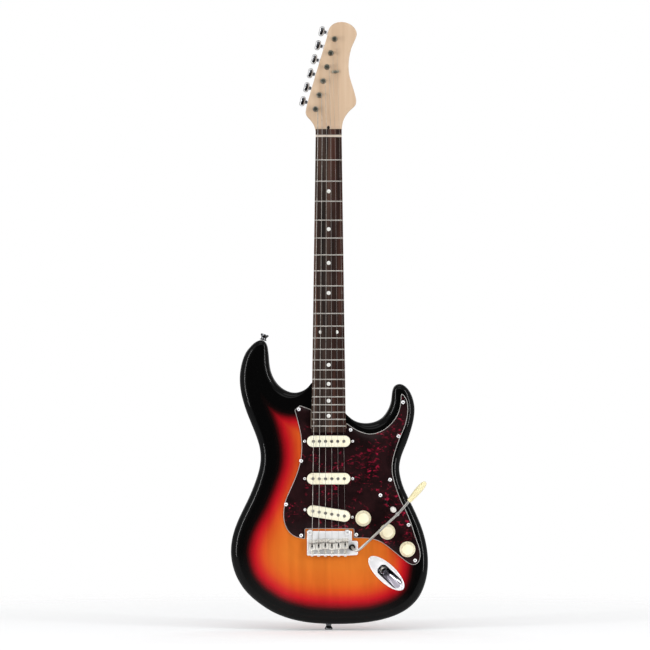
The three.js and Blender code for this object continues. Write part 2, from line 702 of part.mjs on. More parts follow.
STRING_DIAMETERS.forEach((_, index) => {
  const number = 6 - index;
  const tuner = new THREE.Group();
  tuner.position.set(...placeOf(tunerPlace(index)));
  tuner.rotation.z = -TUNER_LINE_TILT;
  guitar.add(tuner);
  add(tuner, `tuner_housing_${number}`, tunerHousing(), CHROME);
  add(tuner, `tuner_post_${number}`, tunerPost(), CHROME);
  add(tuner, `tuner_button_${number}`, tunerButton(), CHROME, [0, WORM_OFFSET, WORM_Z]);
  add(guitar, `string_${number}`, string(index), STEEL);
});

add(guitar, 'pickguard', pickguard(), TORTOISESHELL);
for (const { name, below, turn, top } of PICKUPS) {
  add(guitar, name, pickup({ top }), CREAM, placeOf([0, below])).rotation.z = turn;
}
for (const { name, place } of POTS) {
  add(guitar, `pot_${name}`, pot(), STEEL, placeOf(place));
  add(guitar, `knob_${name}`, knob(), CREAM, placeOf(place));
}
const selector = new THREE.Group();
selector.position.set(...placeOf(SWITCH_PLACE));
selector.rotation.z = SWITCH_TURN;
guitar.add(selector);
add(selector, 'switch_body', switchBody(), STEEL);
add(selector, 'switch_lever', switchLever(), CREAM, [0, 0, SWITCH_PIVOT_Z])
  .rotation.y = SWITCH_REST_TILT;

const jack = new THREE.Group();
jack.position.set(...placeOf(JACK_PLACE));
jack.rotation.z = JACK_TURN;
guitar.add(jack);
add(jack, 'jack_plate', jackPlate(), CHROME);
add(jack, 'jack_socket', jackSocket(), STEEL);

const bridge = new THREE.Group();
guitar.add(bridge);
add(bridge, 'bridge_plate', bridgePlate(), CHROME);
add(bridge, 'trem_block', tremBlock(), STEEL);
add(bridge, 'tremolo_arm', tremoloArm(), CHROME, placeOf(ARM_SOCKET));
STRING_DIAMETERS.forEach((_, index) => {
  const place = placeOf([stringX(index, BRIDGE_PITCH), saddleLine(index)]);
  add(bridge, `saddle_${6 - index}`, saddle(index), CHROME, place);
});
[['bass', -1], ['treble', 1]].forEach(([side, sign]) => {
  const place = placeOf([sign * PIVOT[0], PIVOT[1]]);
  add(guitar, `pivot_stud_${side}`, pivotStud(), CHROME, place);
});
[-16, 0, 16].forEach((x, index) => {
  add(guitar, `tremolo_spring_${index + 1}`, tremoloSpring(), STEEL, placeOf([x, 645.7], -12));
});

export default guitar;
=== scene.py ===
"""The looks of a six-string electric guitar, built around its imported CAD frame.

Shapes are drawn lying face up, in millimetres: x to the treble side, y up the neck from the end
strap button, z out of the face with z = 0 halfway through the body. STAND turns that drawing into
the frame's metres, with the guitar upright and its face towards -Y.
"""

import json
import math
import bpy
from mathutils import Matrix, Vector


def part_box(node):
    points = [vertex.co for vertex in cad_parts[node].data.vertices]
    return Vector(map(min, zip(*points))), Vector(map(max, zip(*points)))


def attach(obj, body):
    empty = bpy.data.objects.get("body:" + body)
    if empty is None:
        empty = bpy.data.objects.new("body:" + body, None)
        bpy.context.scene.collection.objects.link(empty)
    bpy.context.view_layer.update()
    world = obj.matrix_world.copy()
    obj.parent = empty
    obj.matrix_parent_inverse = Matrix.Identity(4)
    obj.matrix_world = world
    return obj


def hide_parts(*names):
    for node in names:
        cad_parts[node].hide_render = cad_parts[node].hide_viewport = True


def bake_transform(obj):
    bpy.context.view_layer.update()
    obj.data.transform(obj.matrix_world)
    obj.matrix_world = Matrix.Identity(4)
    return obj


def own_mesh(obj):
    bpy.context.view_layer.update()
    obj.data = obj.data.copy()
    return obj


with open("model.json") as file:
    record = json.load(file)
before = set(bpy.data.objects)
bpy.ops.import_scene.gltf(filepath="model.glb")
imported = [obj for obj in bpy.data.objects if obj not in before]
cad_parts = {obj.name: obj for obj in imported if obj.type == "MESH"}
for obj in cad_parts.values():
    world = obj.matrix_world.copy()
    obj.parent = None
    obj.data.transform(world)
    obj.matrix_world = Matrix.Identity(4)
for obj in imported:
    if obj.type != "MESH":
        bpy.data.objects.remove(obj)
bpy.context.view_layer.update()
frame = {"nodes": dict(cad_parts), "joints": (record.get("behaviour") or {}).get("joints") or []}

from types import SimpleNamespace

import bmesh
import bpy
import numpy as np
from mathutils import Matrix, Vector, geometry

MM = 0.001
HOLE_EASE = 0.2
STAND = Matrix(((MM, 0, 0, 0), (0, 0, -MM, 0), (0, MM, 0, 0), (0, 0, 0, 1)))
UNSTAND = STAND.inverted()
PICKUPS = ("pickup_neck", "pickup_middle", "pickup_bridge")
KNOBS = ("knob_volume", "knob_tone_neck", "knob_tone_middle")
STUDS = ("pivot_stud_bass", "pivot_stud_treble")
# Strings, saddles, posts and tuner buttons are numbered from the treble side.
STRINGS = range(1, 7)

# ---------------------------------------------------------------- reading the frame


def span(node):
    """A CAD node's limits in the drawing."""
    ends = [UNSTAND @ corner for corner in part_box(node)]
    low = Vector([min(pair) for pair in zip(*ends)])
    high = Vector([max(pair) for pair in zip(*ends)])
    return SimpleNamespace(low=low, high=high, centre=(low + high) / 2, size=high - low)


def corners_of(node):
    """A CAD node's corner points in the drawing."""
    return np.array([UNSTAND @ vertex.co for vertex in frame["nodes"][node].data.vertices])


def heading_of(node):
    """The angle, on the face plane, of a CAD node's long direction."""
    flat = corners_of(node)[:, :2]
    flat = np.unique(flat.round(3), axis=0)
    spread, directions = np.linalg.eigh(np.cov((flat - flat.mean(0)).T))
    x, y = directions[:, int(np.argmax(spread))]
    return math.atan2(y, x) if x > 0 else math.atan2(-y, -x)


def joint(name):
    """A joint's pivot and axis in the drawing, and its range in degrees."""
    found = next(j for j in frame["joints"] if j["name"] == name)
    axis = (UNSTAND.to_3x3() @ Vector(found["axis"])).normalized()
    return SimpleNamespace(pivot=UNSTAND @ Vector(found["pos_m"]), axis=axis,
                           degrees=found.get("range_deg"))


def outlines_at(node, z):
    """The closed outlines where the plane at height z cuts a CAD node, the longest first."""
    bm = bmesh.new()
    bm.from_mesh(frame["nodes"][node].data)
    bmesh.ops.transform(bm, matrix=UNSTAND, verts=bm.verts)
    bmesh.ops.remove_doubles(bm, verts=bm.verts, dist=1e-4)
    geom = bm.verts[:] + bm.edges[:] + bm.faces[:]
    plane = {"plane_co": (0, 0, z), "plane_no": (0, 0, 1)}
    bmesh.ops.bisect_plane(bm, geom=geom, clear_inner=True, clear_outer=True, **plane)
    loops = []
    unused = set(bm.verts)
    while unused:
        loop = [unused.pop()]
        following = [e.other_vert(loop[-1]) for e in loop[-1].link_edges]
        while following:
            loop.append(following[0])
            unused.discard(following[0])
            following = [e.other_vert(loop[-1]) for e in loop[-1].link_edges]
            following = [v for v in following if v in unused]
        if len(loop) > 2:
            loops.append(np.array([v.co.xy for v in loop]))
    bm.free()
    return sorted(loops, key=lambda loop: -np.ptp(loop, axis=0).sum())


# ---------------------------------------------------------------- outlines


def anticlockwise(loop):
    x, y = loop[:, 0], loop[:, 1]
    area = np.dot(x, np.roll(y, -1)) - np.dot(y, np.roll(x, -1))
    return loop if area > 0 else loop[::-1]


def turned_at(loop):
    """How far the outline turns at each point, in radians."""
    after = np.roll(loop, -1, 0) - loop
    before = loop - np.roll(loop, 1, 0)
    cross = before[:, 0] * after[:, 1] - before[:, 1] * after[:, 0]
    return np.abs(np.arctan2(cross, (before * after).sum(1)))


def without_straights(loop):
    """The outline without the points that lie on a straight run."""
    return loop[turned_at(loop) > 0.002]


def spline(points, steps):
    """A centripetal Catmull-Rom curve through an open run of points."""
    points = np.asarray(points, float)
    padded = np.vstack([2 * points[0] - points[1], points, 2 * points[-1] - points[-2]])
    made = []
    for a, b, c, d in zip(padded, padded[1:], padded[2:], padded[3:]):
        knots = np.cumsum([0] + [max(np.linalg.norm(q - p), 1e-6) ** 0.5
                                 for p, q in ((a, b), (b, c), (c, d))])
        t0, t1, t2, t3 = knots
        for t in np.linspace(t1, t2, steps, endpoint=False):
            ab = a + (b - a) * (t - t0) / (t1 - t0)
            bc = b + (c - b) * (t - t1) / (t2 - t1)
            cd = c + (d - c) * (t - t2) / (t3 - t2)
            abc = ab + (bc - ab) * (t - t0) / (t2 - t0)
            bcd = bc + (cd - bc) * (t - t1) / (t3 - t1)
            made.append(abc + (bcd - abc) * (t - t1) / (t2 - t1))
    return np.vstack(made + [points[-1]])


def evenly(loop, spacing):
    """A closed outline's points, spaced evenly."""
    closed = np.vstack([loop, loop[:1]])
    reach = np.concatenate([[0], np.cumsum(np.linalg.norm(np.diff(closed, axis=0), axis=1))])
    stops = np.linspace(0, reach[-1], max(8, round(reach[-1] / spacing)), endpoint=False)
    return np.column_stack([np.interp(stops, reach, closed[:, i]) for i in (0, 1)])


def bell(width, spread):
    """Bell-shaped weights that sum to one, for the steps from -width to width."""
    weights = np.exp(-0.5 * (np.arange(-width, width + 1) / spread) ** 2)
    return weights / weights.sum()


def softened(loop, reach, spacing):
    """A closed outline with its corners rounded over about that reach."""
    width = max(1, round(3 * reach / spacing))
    weights = bell(width, reach / spacing)
    return sum(w * np.roll(loop, width - i, 0) for i, w in enumerate(weights))


def fair(loop, spacing, reach, corner=0.6):
    """A smooth, even outline through a coarse one, with its sharp corners kept and then rounded."""
    loop = anticlockwise(without_straights(loop))
    sharp = np.flatnonzero(turned_at(loop) > corner)
    if len(sharp) == 0:
        wrapped = np.vstack([loop[-3:], loop, loop[:4]])
        curve = spline(wrapped, 8)[3 * 8:-3 * 8 - 1]
    else:
        loop = np.roll(loop, -sharp[0], 0)
        stops = list(sharp - sharp[0]) + [len(loop)]
        closed = np.vstack([loop, loop[:1]])
        runs = [closed[a:b + 1] for a, b in zip(stops, stops[1:])]
        curve = np.vstack([spline(run, 8)[:-1] for run in runs])
    return softened(evenly(curve, spacing), reach, spacing)


def outward(loop):
    """The unit normals of an anticlockwise outline."""
    along = np.roll(loop, -1, 0) - np.roll(loop, 1, 0)
    along /= np.linalg.norm(along, axis=1)[:, None]
    return np.column_stack([along[:, 1], -along[:, 0]])


def on_circle(turns):
    """Points at those angles on the circle of radius one."""
    return np.column_stack([np.cos(turns), np.sin(turns)])


def capsule(length, width, arc_steps=10):
    """A round-ended outline about the origin, its long side along x."""
    right = on_circle(np.linspace(-math.pi / 2, math.pi / 2, arc_steps + 1)) * width / 2
    right[:, 0] += (length - width) / 2
    return np.vstack([right, -right])


def circle(radius, sides=32):
    return on_circle(np.arange(sides) * 2 * math.pi / sides) * radius


def rectangle(left, right, bottom, top, radius, arc_steps=5):
    """A round-cornered rectangle."""
    middles = [(right - radius, top - radius), (left + radius, top - radius),
               (left + radius, bottom + radius), (right - radius, bottom + radius)]
    made = []
    for quarter, middle in enumerate(middles):
        turns = (quarter + np.linspace(0, 1, arc_steps + 1)) * math.pi / 2
        made.append(on_circle(turns) * radius + middle)
    return np.vstack(made)


def moved(loop, place, turn=0.0):
    """An outline turned about the origin and then carried to a place."""
    c, s = math.cos(turn), math.sin(turn)
    return loop @ np.array([[c, s], [-s, c]]) + np.array(place[:2])


def smoothstep(low, high, value):
    t = np.clip((value - low) / (high - low), 0, 1)
    return t * t * (3 - 2 * t)


def soft_rise(value, reach):
    """Zero below zero and value above it, with the bend spread over reach each way."""
    bend = (value + reach) ** 2 / (4 * reach)
    return np.where(value < -reach, 0, np.where(value > reach, value, bend))


# ---------------------------------------------------------------- meshes


def loft(rings, caps=True):
    """A skin over rings of equal length, closed at both ends if caps is set."""
    points = [tuple(p) for ring in rings for p in ring]
    count = len(rings[0])
    faces = [
        (k * count + i, k * count + (i + 1) % count,
         (k + 1) * count + (i + 1) % count, (k + 1) * count + i)
        for k in range(len(rings) - 1) for i in range(count)
    ]
    if caps:
        faces.append(tuple(reversed(range(count))))
        faces.append(tuple(range((len(rings) - 1) * count, len(rings) * count)))
    return points, faces


def lathe(profile, sides=40):
    """A turned piece about z; the profile runs up the piece as (radius, z)."""
    return loft([[(*p, z) for p in circle(max(radius, 1e-3), sides)] for radius, z in profile])


def tube(path, radius, sides):
    """A round bar along a path."""
    path = [Vector(p) for p in path]
    rings = []
    side = None
    for i, point in enumerate(path):
        along = (path[min(i + 1, len(path) - 1)] - path[max(i - 1, 0)]).normalized()
        if side is None:
            side = along.orthogonal().normalized()
        side = (side - along * side.dot(along)).normalized()
        other = along.cross(side)
        turns = [2 * math.pi * k / sides for k in range(sides)]
        rings.append([point + radius * (math.cos(t) * side + math.sin(t) * other) for t in turns])
    return loft(rings)


def slab(outline, bottom, top, edge=0.0, lower_edge=None, steps=4):
    """A plate with rounded rims; outline is anticlockwise."""
    lower = edge if lower_edge is None else lower_edge
    outline = anticlockwise(np.asarray(outline, float))
    normals = outward(outline)
    levels = []
    for i in range(steps + 1 if lower else 1):
        angle = math.pi / 2 * i / steps
        levels.append((lower * (1 - math.sin(angle)), bottom + lower * (1 - math.cos(angle))))
    for i in range(steps + 1 if edge else 1):
        angle = math.pi / 2 * i / steps
        levels.append((edge * (1 - math.cos(angle)), top - edge * (1 - math.sin(angle))))
    rings = [[(*p, z) for p in outline - normals * inset] for inset, z in levels]
    return loft(rings)


def distance_to(points, line, closed=True):
    """How far each point is from a line of straight runs, on the face plane."""
    starts = np.asarray(line, float)
    runs = np.roll(starts, -1, 0) - starts
    if not closed:
        starts, runs = starts[:-1], runs[:-1]
    best = np.full(len(points), np.inf)
    for start, run in zip(starts, runs):
        share = np.clip((points - start) @ run / (run @ run), 0, 1)
        best = np.minimum(best, np.linalg.norm(points - start - share[:, None] * run, axis=1))
    return best


def inside(points, loop):
    """Whether each point lies inside a closed outline."""
    found = np.zeros(len(points), bool)
    for a, b in zip(loop, np.roll(loop, -1, 0)):
        spans = (a[1] > points[:, 1]) != (b[1] > points[:, 1])
        if a[1] != b[1]:
            crossing = a[0] + (points[:, 1] - a[1]) * (b[0] - a[0]) / (b[1] - a[1])
            found ^= spans & (points[:, 0] < crossing)
    return found


def filled(points, rims):
    """Triangles over the area inside the first rim and outside the others; rims hold numbers."""
    numbers = [i for rim in rims for i in rim]
    flat = [Vector(points[i][:2]) for i in numbers]
    edges, first = [], 0
    for rim in rims:
        edges += [(first + i, first + (i + 1) % len(rim)) for i in range(len(rim))]
        first += len(rim)
    made = geometry.delaunay_2d_cdt(flat, edges, [], 0, 1e-4)
    sources = []
    for place, originals in zip(made[0], made[3]):
        if originals:
            sources.append(numbers[originals[0]])
        else:
            sources.append(len(points))
            points.append((place.x, place.y, points[numbers[0]][2]))
    faces = [tuple(sources[i] for i in face) for face in made[2]]
    centres = np.array([np.mean([points[i][:2] for i in face], axis=0) for face in faces])
    covered = np.ones(len(faces), bool)
    for order, rim in enumerate(rims):
        within = inside(centres, np.array([points[i][:2] for i in rim]))
        covered &= within if order == 0 else ~within
    return [face for face, kept in zip(faces, covered) if kept]


def drawn_in(loop, amount):
    """An outline moved inwards; where it would cross itself, its points gather in the corner."""
    inner = loop - outward(loop) * amount
    sound = np.flatnonzero(distance_to(inner, loop) > amount * 0.97 - 1e-6)
    order = np.arange(len(loop))
    return np.column_stack([np.interp(order, sound, inner[sound, axis], period=len(loop))
                            for axis in (0, 1)])


def sheet(outline, levels, holes):
    """A flat plate with holes; levels are (inset, z) up its rim from the underside."""
    low, high = levels[0][1], levels[-1][1]
    hole_levels = [(0, low), (0, high - HOLE_EASE), (HOLE_EASE, high)]
    runs = [(anticlockwise(np.asarray(outline, float)), levels)]
    runs += [(anticlockwise(np.asarray(hole, float))[::-1], hole_levels) for hole in holes]
    points, faces, under, over = [], [], [], []
    for loop, steps in runs:
        rings = [[(*p, z) for p in drawn_in(loop, inset)] for inset, z in steps]
        first = len(points)
        ring_points, sides = loft(rings, caps=False)
        points += ring_points
        faces += [tuple(first + i for i in face) for face in sides]
        under.append(range(first, first + len(loop)))
        over.append(range(len(points) - len(loop), len(points)))
    return points, faces + filled(points, under) + filled(points, over)


def block(low, high):
    """A box between two corners, for cutting."""
    return loft([[(low[0], low[1], z), (high[0], low[1], z), (high[0], high[1], z),
                  (low[0], high[1], z)] for z in (low[2], high[2])])


def placed(shape, matrix):
    """A shape carried by a matrix."""
    points, faces = shape
    return [tuple(matrix @ Vector(p)) for p in points], faces


def joined(*shapes):
    """Several shapes as one."""
    points, faces = [], []
    for some_points, some_faces in shapes:
        first = len(points)
        points += some_points
        faces += [tuple(first + i for i in face) for face in some_faces]
    return points, faces


def shift(x, y, z=0.0):
    return Matrix.Translation((x, y, z))


def spin(angle, axis="Z"):
    return Matrix.Rotation(angle, 4, axis)


def standing(place, turn=0.0):
    """The placing of a piece drawn at the origin that stands over a point of the drawing."""
    return shift(place[0], place[1]) @ spin(turn)


def pointing(place, direction):
    """The placing of a piece drawn up z that starts at a point and runs in a direction."""
    return Matrix.Translation(place) @ direction.to_track_quat("Z", "Y").to_matrix().to_4x4()


def to_mesh(name, shape):
    """A shape as a mesh whose faces look outwards."""
    mesh = bpy.data.meshes.new(name)
    mesh.from_pydata(shape[0], [], shape[1])
    mesh.validate()
    bm = bmesh.new()
    bm.from_mesh(mesh)
    bmesh.ops.recalc_face_normals(bm, faces=bm.faces)
    bm.to_mesh(mesh)
    bm.free()
    return mesh


def linked(name, data):
    """A new object in the scene."""
    obj = bpy.data.objects.new(name, data)
    bpy.context.scene.collection.objects.link(obj)
    return obj


def cut(shape, *tools):
    """A shape with tool shapes cut out of it."""
    whole = linked("whole", to_mesh("whole", shape))
    spent = [whole]
    for tool in tools:
        other = linked("tool", to_mesh("tool", tool))
        spent.append(other)
        step = whole.modifiers.new("cut", "BOOLEAN")
        step.object = other
        step.operation = "DIFFERENCE"
        step.solver = "EXACT"
    bpy.context.view_layer.update()
    made = whole.evaluated_get(bpy.context.evaluated_depsgraph_get()).to_mesh()
    points = [tuple(v.co) for v in made.vertices]
    faces = [tuple(p.vertices) for p in made.polygons]
    for obj in spent:
        bpy.data.objects.remove(obj)
    return points, faces


def piece(name, shape, finish, body="root", stands_for=(), crease=35, paint=None):
    """One named piece of the guitar, riding a CAD body unless body is None.

    finish is a material or a list of them; with a list, paint(centre, normal) picks one by number
    for each face. Edges that turn more than crease degrees look sharp.
    """
    mesh = to_mesh(name, shape)
    finishes = finish if isinstance(finish, list) else [finish]
    for one in finishes:
        mesh.materials.append(one)
    if paint:
        for face in mesh.polygons:
            face.material_index = paint(face.center, face.normal)
    mesh.transform(STAND)
    mesh.shade_smooth()
    mesh.set_sharp_from_angle(angle=math.radians(crease))
    obj = linked(name, mesh)
    if body:
        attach(obj, body)
    if stands_for:
        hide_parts(*stands_for)
    return obj


# ---------------------------------------------------------------- finishes


def srgb(red, green, blue):
    """A colour given as 0 to 255, as the shader's linear numbers."""
    shares = [v / 255 for v in (red, green, blue)]
    return (*[v / 12.92 if v <= 0.04045 else ((v + 0.055) / 1.055) ** 2.4 for v in shares], 1)


def feed(tree, target, inputs):
    """Sets a node's inputs: an output is linked, and anything else is a value."""
    for key, value in inputs.items():
        if isinstance(value, bpy.types.NodeSocket):
            tree.links.new(value, target.inputs[key])
        else:
            target.inputs[key].default_value = value


def add_node(tree, kind, inputs=None, **settings):
    """A new shader node with its settings made and its inputs fed."""
    made = tree.nodes.new("ShaderNode" + kind)
    for key, value in settings.items():
        setattr(made, key, value)
    feed(tree, made, inputs or {})
    return made


class Finish:
    """One procedural material; its methods add nodes and return their outputs."""

    def __init__(self, name, **sockets):
        self.material = bpy.data.materials.new(name)
        self.material.use_nodes = True
        self.tree = self.material.node_tree
        self.shader = self.tree.nodes["Principled BSDF"]
        self.place = self.node("TexCoord").outputs["Object"]
        self.set(**sockets)

    def node(self, kind, inputs=None, **settings):
        return add_node(self.tree, kind, inputs, **settings)

    def stretched(self, stretch, turn):
        sockets = {"Vector": self.place, "Scale": stretch, "Rotation": turn}
        return self.node("Mapping", sockets).outputs["Vector"]

    def noise(self, scale, stretch=(1, 1, 1), turn=(0, 0, 0), detail=3, distortion=0.0):
        sockets = {"Vector": self.stretched(stretch, turn), "Scale": scale, "Detail": detail,
                   "Distortion": distortion}
        return self.node("TexNoise", sockets).outputs["Fac"]

    def ramp(self, value, *stops):
        """A colour that changes with value; stops are (value, colour as 0 to 255)."""
        made = self.node("ValToRGB", {"Fac": value})
        ends = made.color_ramp.elements
        for _ in stops[2:]:
            ends.new(0.5)
        for end, (position, colour) in zip(ends, stops):
            end.position = position
            end.color = srgb(*colour)
        return made.outputs["Color"]

    def fit(self, value, low, high, from_low=0.0, from_high=1.0):
        sockets = {"Value": value, "From Min": from_low, "From Max": from_high,
                   "To Min": low, "To Max": high}
        return self.node("MapRange", sockets).outputs["Result"]

    def maths(self, operation, a, b):
        return self.node("Math", {0: a, 1: b}, operation=operation).outputs[0]

    def mix(self, share, a, b, blend="MIX"):
        made = self.node("Mix", data_type="RGBA", blend_type=blend)
        feed(self.tree, made, {0: share, 6: a, 7: b})
        return made.outputs[2]

    def set(self, **sockets):
        feed(self.tree, self.shader,
             {key.replace("_", " "): value for key, value in sockets.items()})

    def bump(self, height, depth):
        """Relief of that depth in metres."""
        sockets = {"Height": height, "Distance": depth, "Strength": 1.0}
        self.set(Normal=self.node("Bump", sockets).outputs["Normal"])


FROM_EDGE = "from_edge"
BURST_REACH = 100
BURST = [
    (18, (3, 3, 3)), (24, (14, 5, 5)), (28, (66, 7, 11)), (33, (140, 12, 23)),
    (39, (188, 22, 32)), (45, (199, 47, 34)), (53, (209, 78, 33)), (66, (213, 103, 36)),
    (92, (216, 117, 41)),
]


def sunburst_lacquer():
    """Amber through red to black by distance from the body's edge, under a thick gloss coat."""
    made = Finish("sunburst_lacquer")
    reach = made.node("Attribute", attribute_name=FROM_EDGE).outputs["Fac"]
    cloud = made.noise(14, detail=2)
    reach = made.maths("ADD", reach, made.fit(cloud, -3, 3))
    stops = [(mm / BURST_REACH, colour) for mm, colour in BURST]
    burst = made.ramp(made.fit(reach, 0, 1, 0, BURST_REACH), *stops)
    grain = made.noise(60, stretch=(1, 1, 0.07), detail=6, distortion=0.6)
    figure = made.noise(9, stretch=(1, 1, 0.35), detail=3, distortion=1.5)
    shade = made.mix(0.5, made.ramp(grain, (0.3, (214, 205, 196)), (0.6, (255, 255, 255))),
                     made.ramp(figure, (0.35, (222, 212, 200)), (0.62, (255, 255, 255))))
    colour = made.mix(0.8, burst, shade, "MULTIPLY")
    dust = made.fit(made.noise(45, detail=5), 0.02, 0.05)
    made.set(Base_Color=colour, Roughness=0.5, Specular_IOR_Level=0.02)
    made.set(Coat_Weight=0.33, Coat_Roughness=dust, Coat_IOR=1.45)
    made.bump(made.noise(260, detail=1), 0.000004)
    return made.material


def maple():
    """Pale straight-grained wood under thin varnish."""
    made = Finish("maple")
    grain = made.noise(75, stretch=(1, 1, 0.05), detail=7, distortion=0.5)
    broad = made.noise(18, stretch=(1, 1, 0.12), detail=3, distortion=1.0)
    wood = made.ramp(made.mix(0.45, grain, broad), (0.32, (188, 156, 126)),
                     (0.5, (206, 177, 147)), (0.68, (217, 191, 163)))
    made.set(Base_Color=wood, Roughness=made.fit(grain, 0.36, 0.5))
    made.set(Coat_Weight=0.25, Coat_Roughness=0.25)
    made.bump(grain, 0.00002)
    return made.material


def rosewood():
    """Dark brown with lighter and redder streaks and fine open pores."""
    made = Finish("rosewood")
    streaks = made.noise(110, stretch=(1, 1, 0.035), detail=7, distortion=0.8)
    red = made.noise(40, stretch=(1, 1, 0.03), detail=3)
    across = made.node("SeparateXYZ", {"Vector": made.place}).outputs["X"]
    red = made.maths("ADD", red, made.fit(across, 0, 0.12, 0.004, 0.024))
    wood = made.ramp(streaks, (0.3, (22, 17, 15)), (0.46, (44, 33, 28)),
                     (0.6, (66, 51, 44)), (0.75, (90, 67, 56)))
    warm = made.ramp(red, (0.5, (255, 255, 255)), (0.68, (255, 176, 150)))
    pores = made.noise(900, stretch=(1, 1, 0.05), detail=2)
    made.set(Base_Color=made.mix(0.7, wood, warm, "MULTIPLY"))
    made.set(Roughness=made.fit(pores, 0.42, 0.62), Specular_IOR_Level=0.15)
    made.bump(made.ramp(pores, (0.36, (0, 0, 0)), (0.46, (255, 255, 255))), 0.00006)
    return made.material


def tortoiseshell():
    """Almost black plastic with scattered crimson flecks, thicker in places."""
    made = Finish("tortoiseshell")
    fleck = made.noise(185, stretch=(0.75, 1, 1.2), turn=(0, 0.4, 0), detail=2, distortion=0.9)
    drift = made.noise(21, detail=2, distortion=0.6)
    across = made.node("SeparateXYZ", {"Vector": made.place}).outputs["X"]
    drift = made.maths("ADD", drift, made.fit(across, -0.12, 0.02, -0.04, 0.05))
    patch = made.maths("MULTIPLY", made.fit(fleck, 0, 1, 0.6, 0.68),
                       made.fit(drift, 0.0, 1, 0.42, 0.62))
    haze = made.maths("MULTIPLY", made.fit(fleck, 0, 0.35, 0.5, 0.66),
                      made.fit(drift, 0.0, 1, 0.5, 0.66))
    smoke = made.ramp(made.noise(30, detail=4, distortion=1), (0.35, (22, 12, 13)),
                      (0.65, (38, 20, 22)))
    blood = made.ramp(made.noise(60, detail=2), (0.4, (112, 18, 40)), (0.62, (186, 32, 66)))
    made.set(Base_Color=made.mix(made.maths("MAXIMUM", patch, haze), smoke, blood))
    made.set(Roughness=made.fit(drift, 0.12, 0.22), Specular_IOR_Level=0.1)
    made.bump(made.noise(70, detail=2), 0.00001)
    return made.material


def plastic(name, light, dark, roughness, grain_scale=420):
    """Moulded plastic: a faint mottle, a fine grain and uneven polish."""
    made = Finish(name)
    mottle = made.noise(60, detail=4)
    made.set(Base_Color=made.ramp(mottle, (0.35, dark), (0.65, light)))
    made.set(Roughness=made.fit(made.noise(150, detail=3), roughness * 0.75, roughness * 1.25))
    made.set(Specular_IOR_Level=0.4)
    made.bump(made.noise(grain_scale, detail=2), 0.00001)
    return made.material


def metal(name, light, dark, smooth, rough, brushed=(1, 1, 1), depth=0.000003, sheen=1.0):
    """Plated or bare metal with smudges and fine polishing marks."""
    made = Finish(name, Metallic=sheen)
    smudge = made.noise(55, detail=5, distortion=0.6)
    marks = made.noise(1400, stretch=brushed, detail=2)
    made.set(Base_Color=made.ramp(smudge, (0.3, dark), (0.7, light)))
    made.set(Roughness=made.fit(made.mix(0.35, smudge, marks), smooth, rough, 0.3, 0.7))
    made.bump(marks, depth)
    return made.material


def wound_steel():
    """A string's flat-lying winding, read along the string."""
    made = Finish("wound_nickel", Metallic=1.0)
    made.set(Base_Color=made.ramp(made.noise(300), (0.3, (150, 146, 140)),
                                  (0.7, (196, 192, 186))))
    made.set(Roughness=made.fit(made.noise(500), 0.28, 0.42))
    wave = made.node("TexWave", {"Vector": made.place, "Scale": 640.0}, wave_type="BANDS",
                     bands_direction="Z", wave_profile="SIN")
    made.bump(wave.outputs["Fac"], 0.00008)
    return made.material


def pearl():
    """Swirled pearl for the dots."""
    made = Finish("pearl_dot")
    swirl = made.noise(240, detail=3, distortion=2.5)
    made.set(Base_Color=made.ramp(swirl, (0.35, (214, 214, 208)), (0.65, (250, 249, 244))))
    made.set(Roughness=made.fit(swirl, 0.18, 0.32), Coat_Weight=0.3)
    return made.material


def felt():
    """Black felt."""
    made = Finish("black_felt")
    fibre = made.noise(1500, detail=4, distortion=1)
    made.set(Base_Color=made.ramp(fibre, (0.35, (14, 14, 15)), (0.7, (44, 43, 42))))
    made.set(Roughness=made.fit(fibre, 0.85, 1.0), Sheen_Weight=0.4)
    made.bump(fibre, 0.0002)
    return made.material


LACQUER = sunburst_lacquer()
NECK_MAPLE = maple()
ROSEWOOD = rosewood()
TORTOISE = tortoiseshell()
WHITE_PLY = plastic("white_ply", (186, 184, 180), (166, 164, 160), 0.4)
BLACK_PLY = plastic("black_ply", (26, 25, 25), (14, 14, 14), 0.4)
CREAM = plastic("cream_plastic", (250, 243, 214), (243, 233, 198), 0.32)
COVER_CREAM = plastic("aged_white_plastic", (251, 247, 226), (246, 239, 210), 0.3)
WHITE_TIP = plastic("white_plastic", (252, 250, 244), (245, 242, 234), 0.3)
TIP_CREAM = plastic("pale_yellow_plastic", (240, 230, 186), (230, 217, 168), 0.35)
BLACK_PLASTIC = plastic("black_plastic", (30, 30, 31), (16, 16, 17), 0.38, 700)
FIBRE = plastic("grey_fibre", (70, 68, 66), (48, 47, 46), 0.8, 900)
BONE = plastic("bone", (210, 198, 184), (192, 178, 163), 0.42, 260)
CHROME = metal("chrome", (254, 254, 255), (238, 238, 240), 0.12, 0.28, sheen=0.25)
STEEL = metal("nickel_steel", (196, 193, 188), (160, 157, 152), 0.22, 0.42)
PLAIN_STRING = metal("plain_steel", (160, 158, 154), (132, 130, 127), 0.3, 0.42)
# Chrome painted dark: a painted dark reflection on the jack trough's wall, the arm collar, the strap
# buttons and the tuner buttons' middles.
CHROME_PAINTED_DARK_REFLECTION = metal("chrome_painted_dark_reflection", (118, 119, 121), (84, 85, 88), 0.06, 0.16)
FERRULE_NICKEL = metal("worn_nickel", (176, 168, 150), (140, 134, 118), 0.3, 0.45)
# Lavender-grey chrome: a painted reflection of the room on the jack trough's floor.
CHROME_PAINTED_ROOM_REFLECTION = metal("chrome_painted_room_reflection", (206, 200, 212), (178, 172, 186), 0.1, 0.2, sheen=0.5)
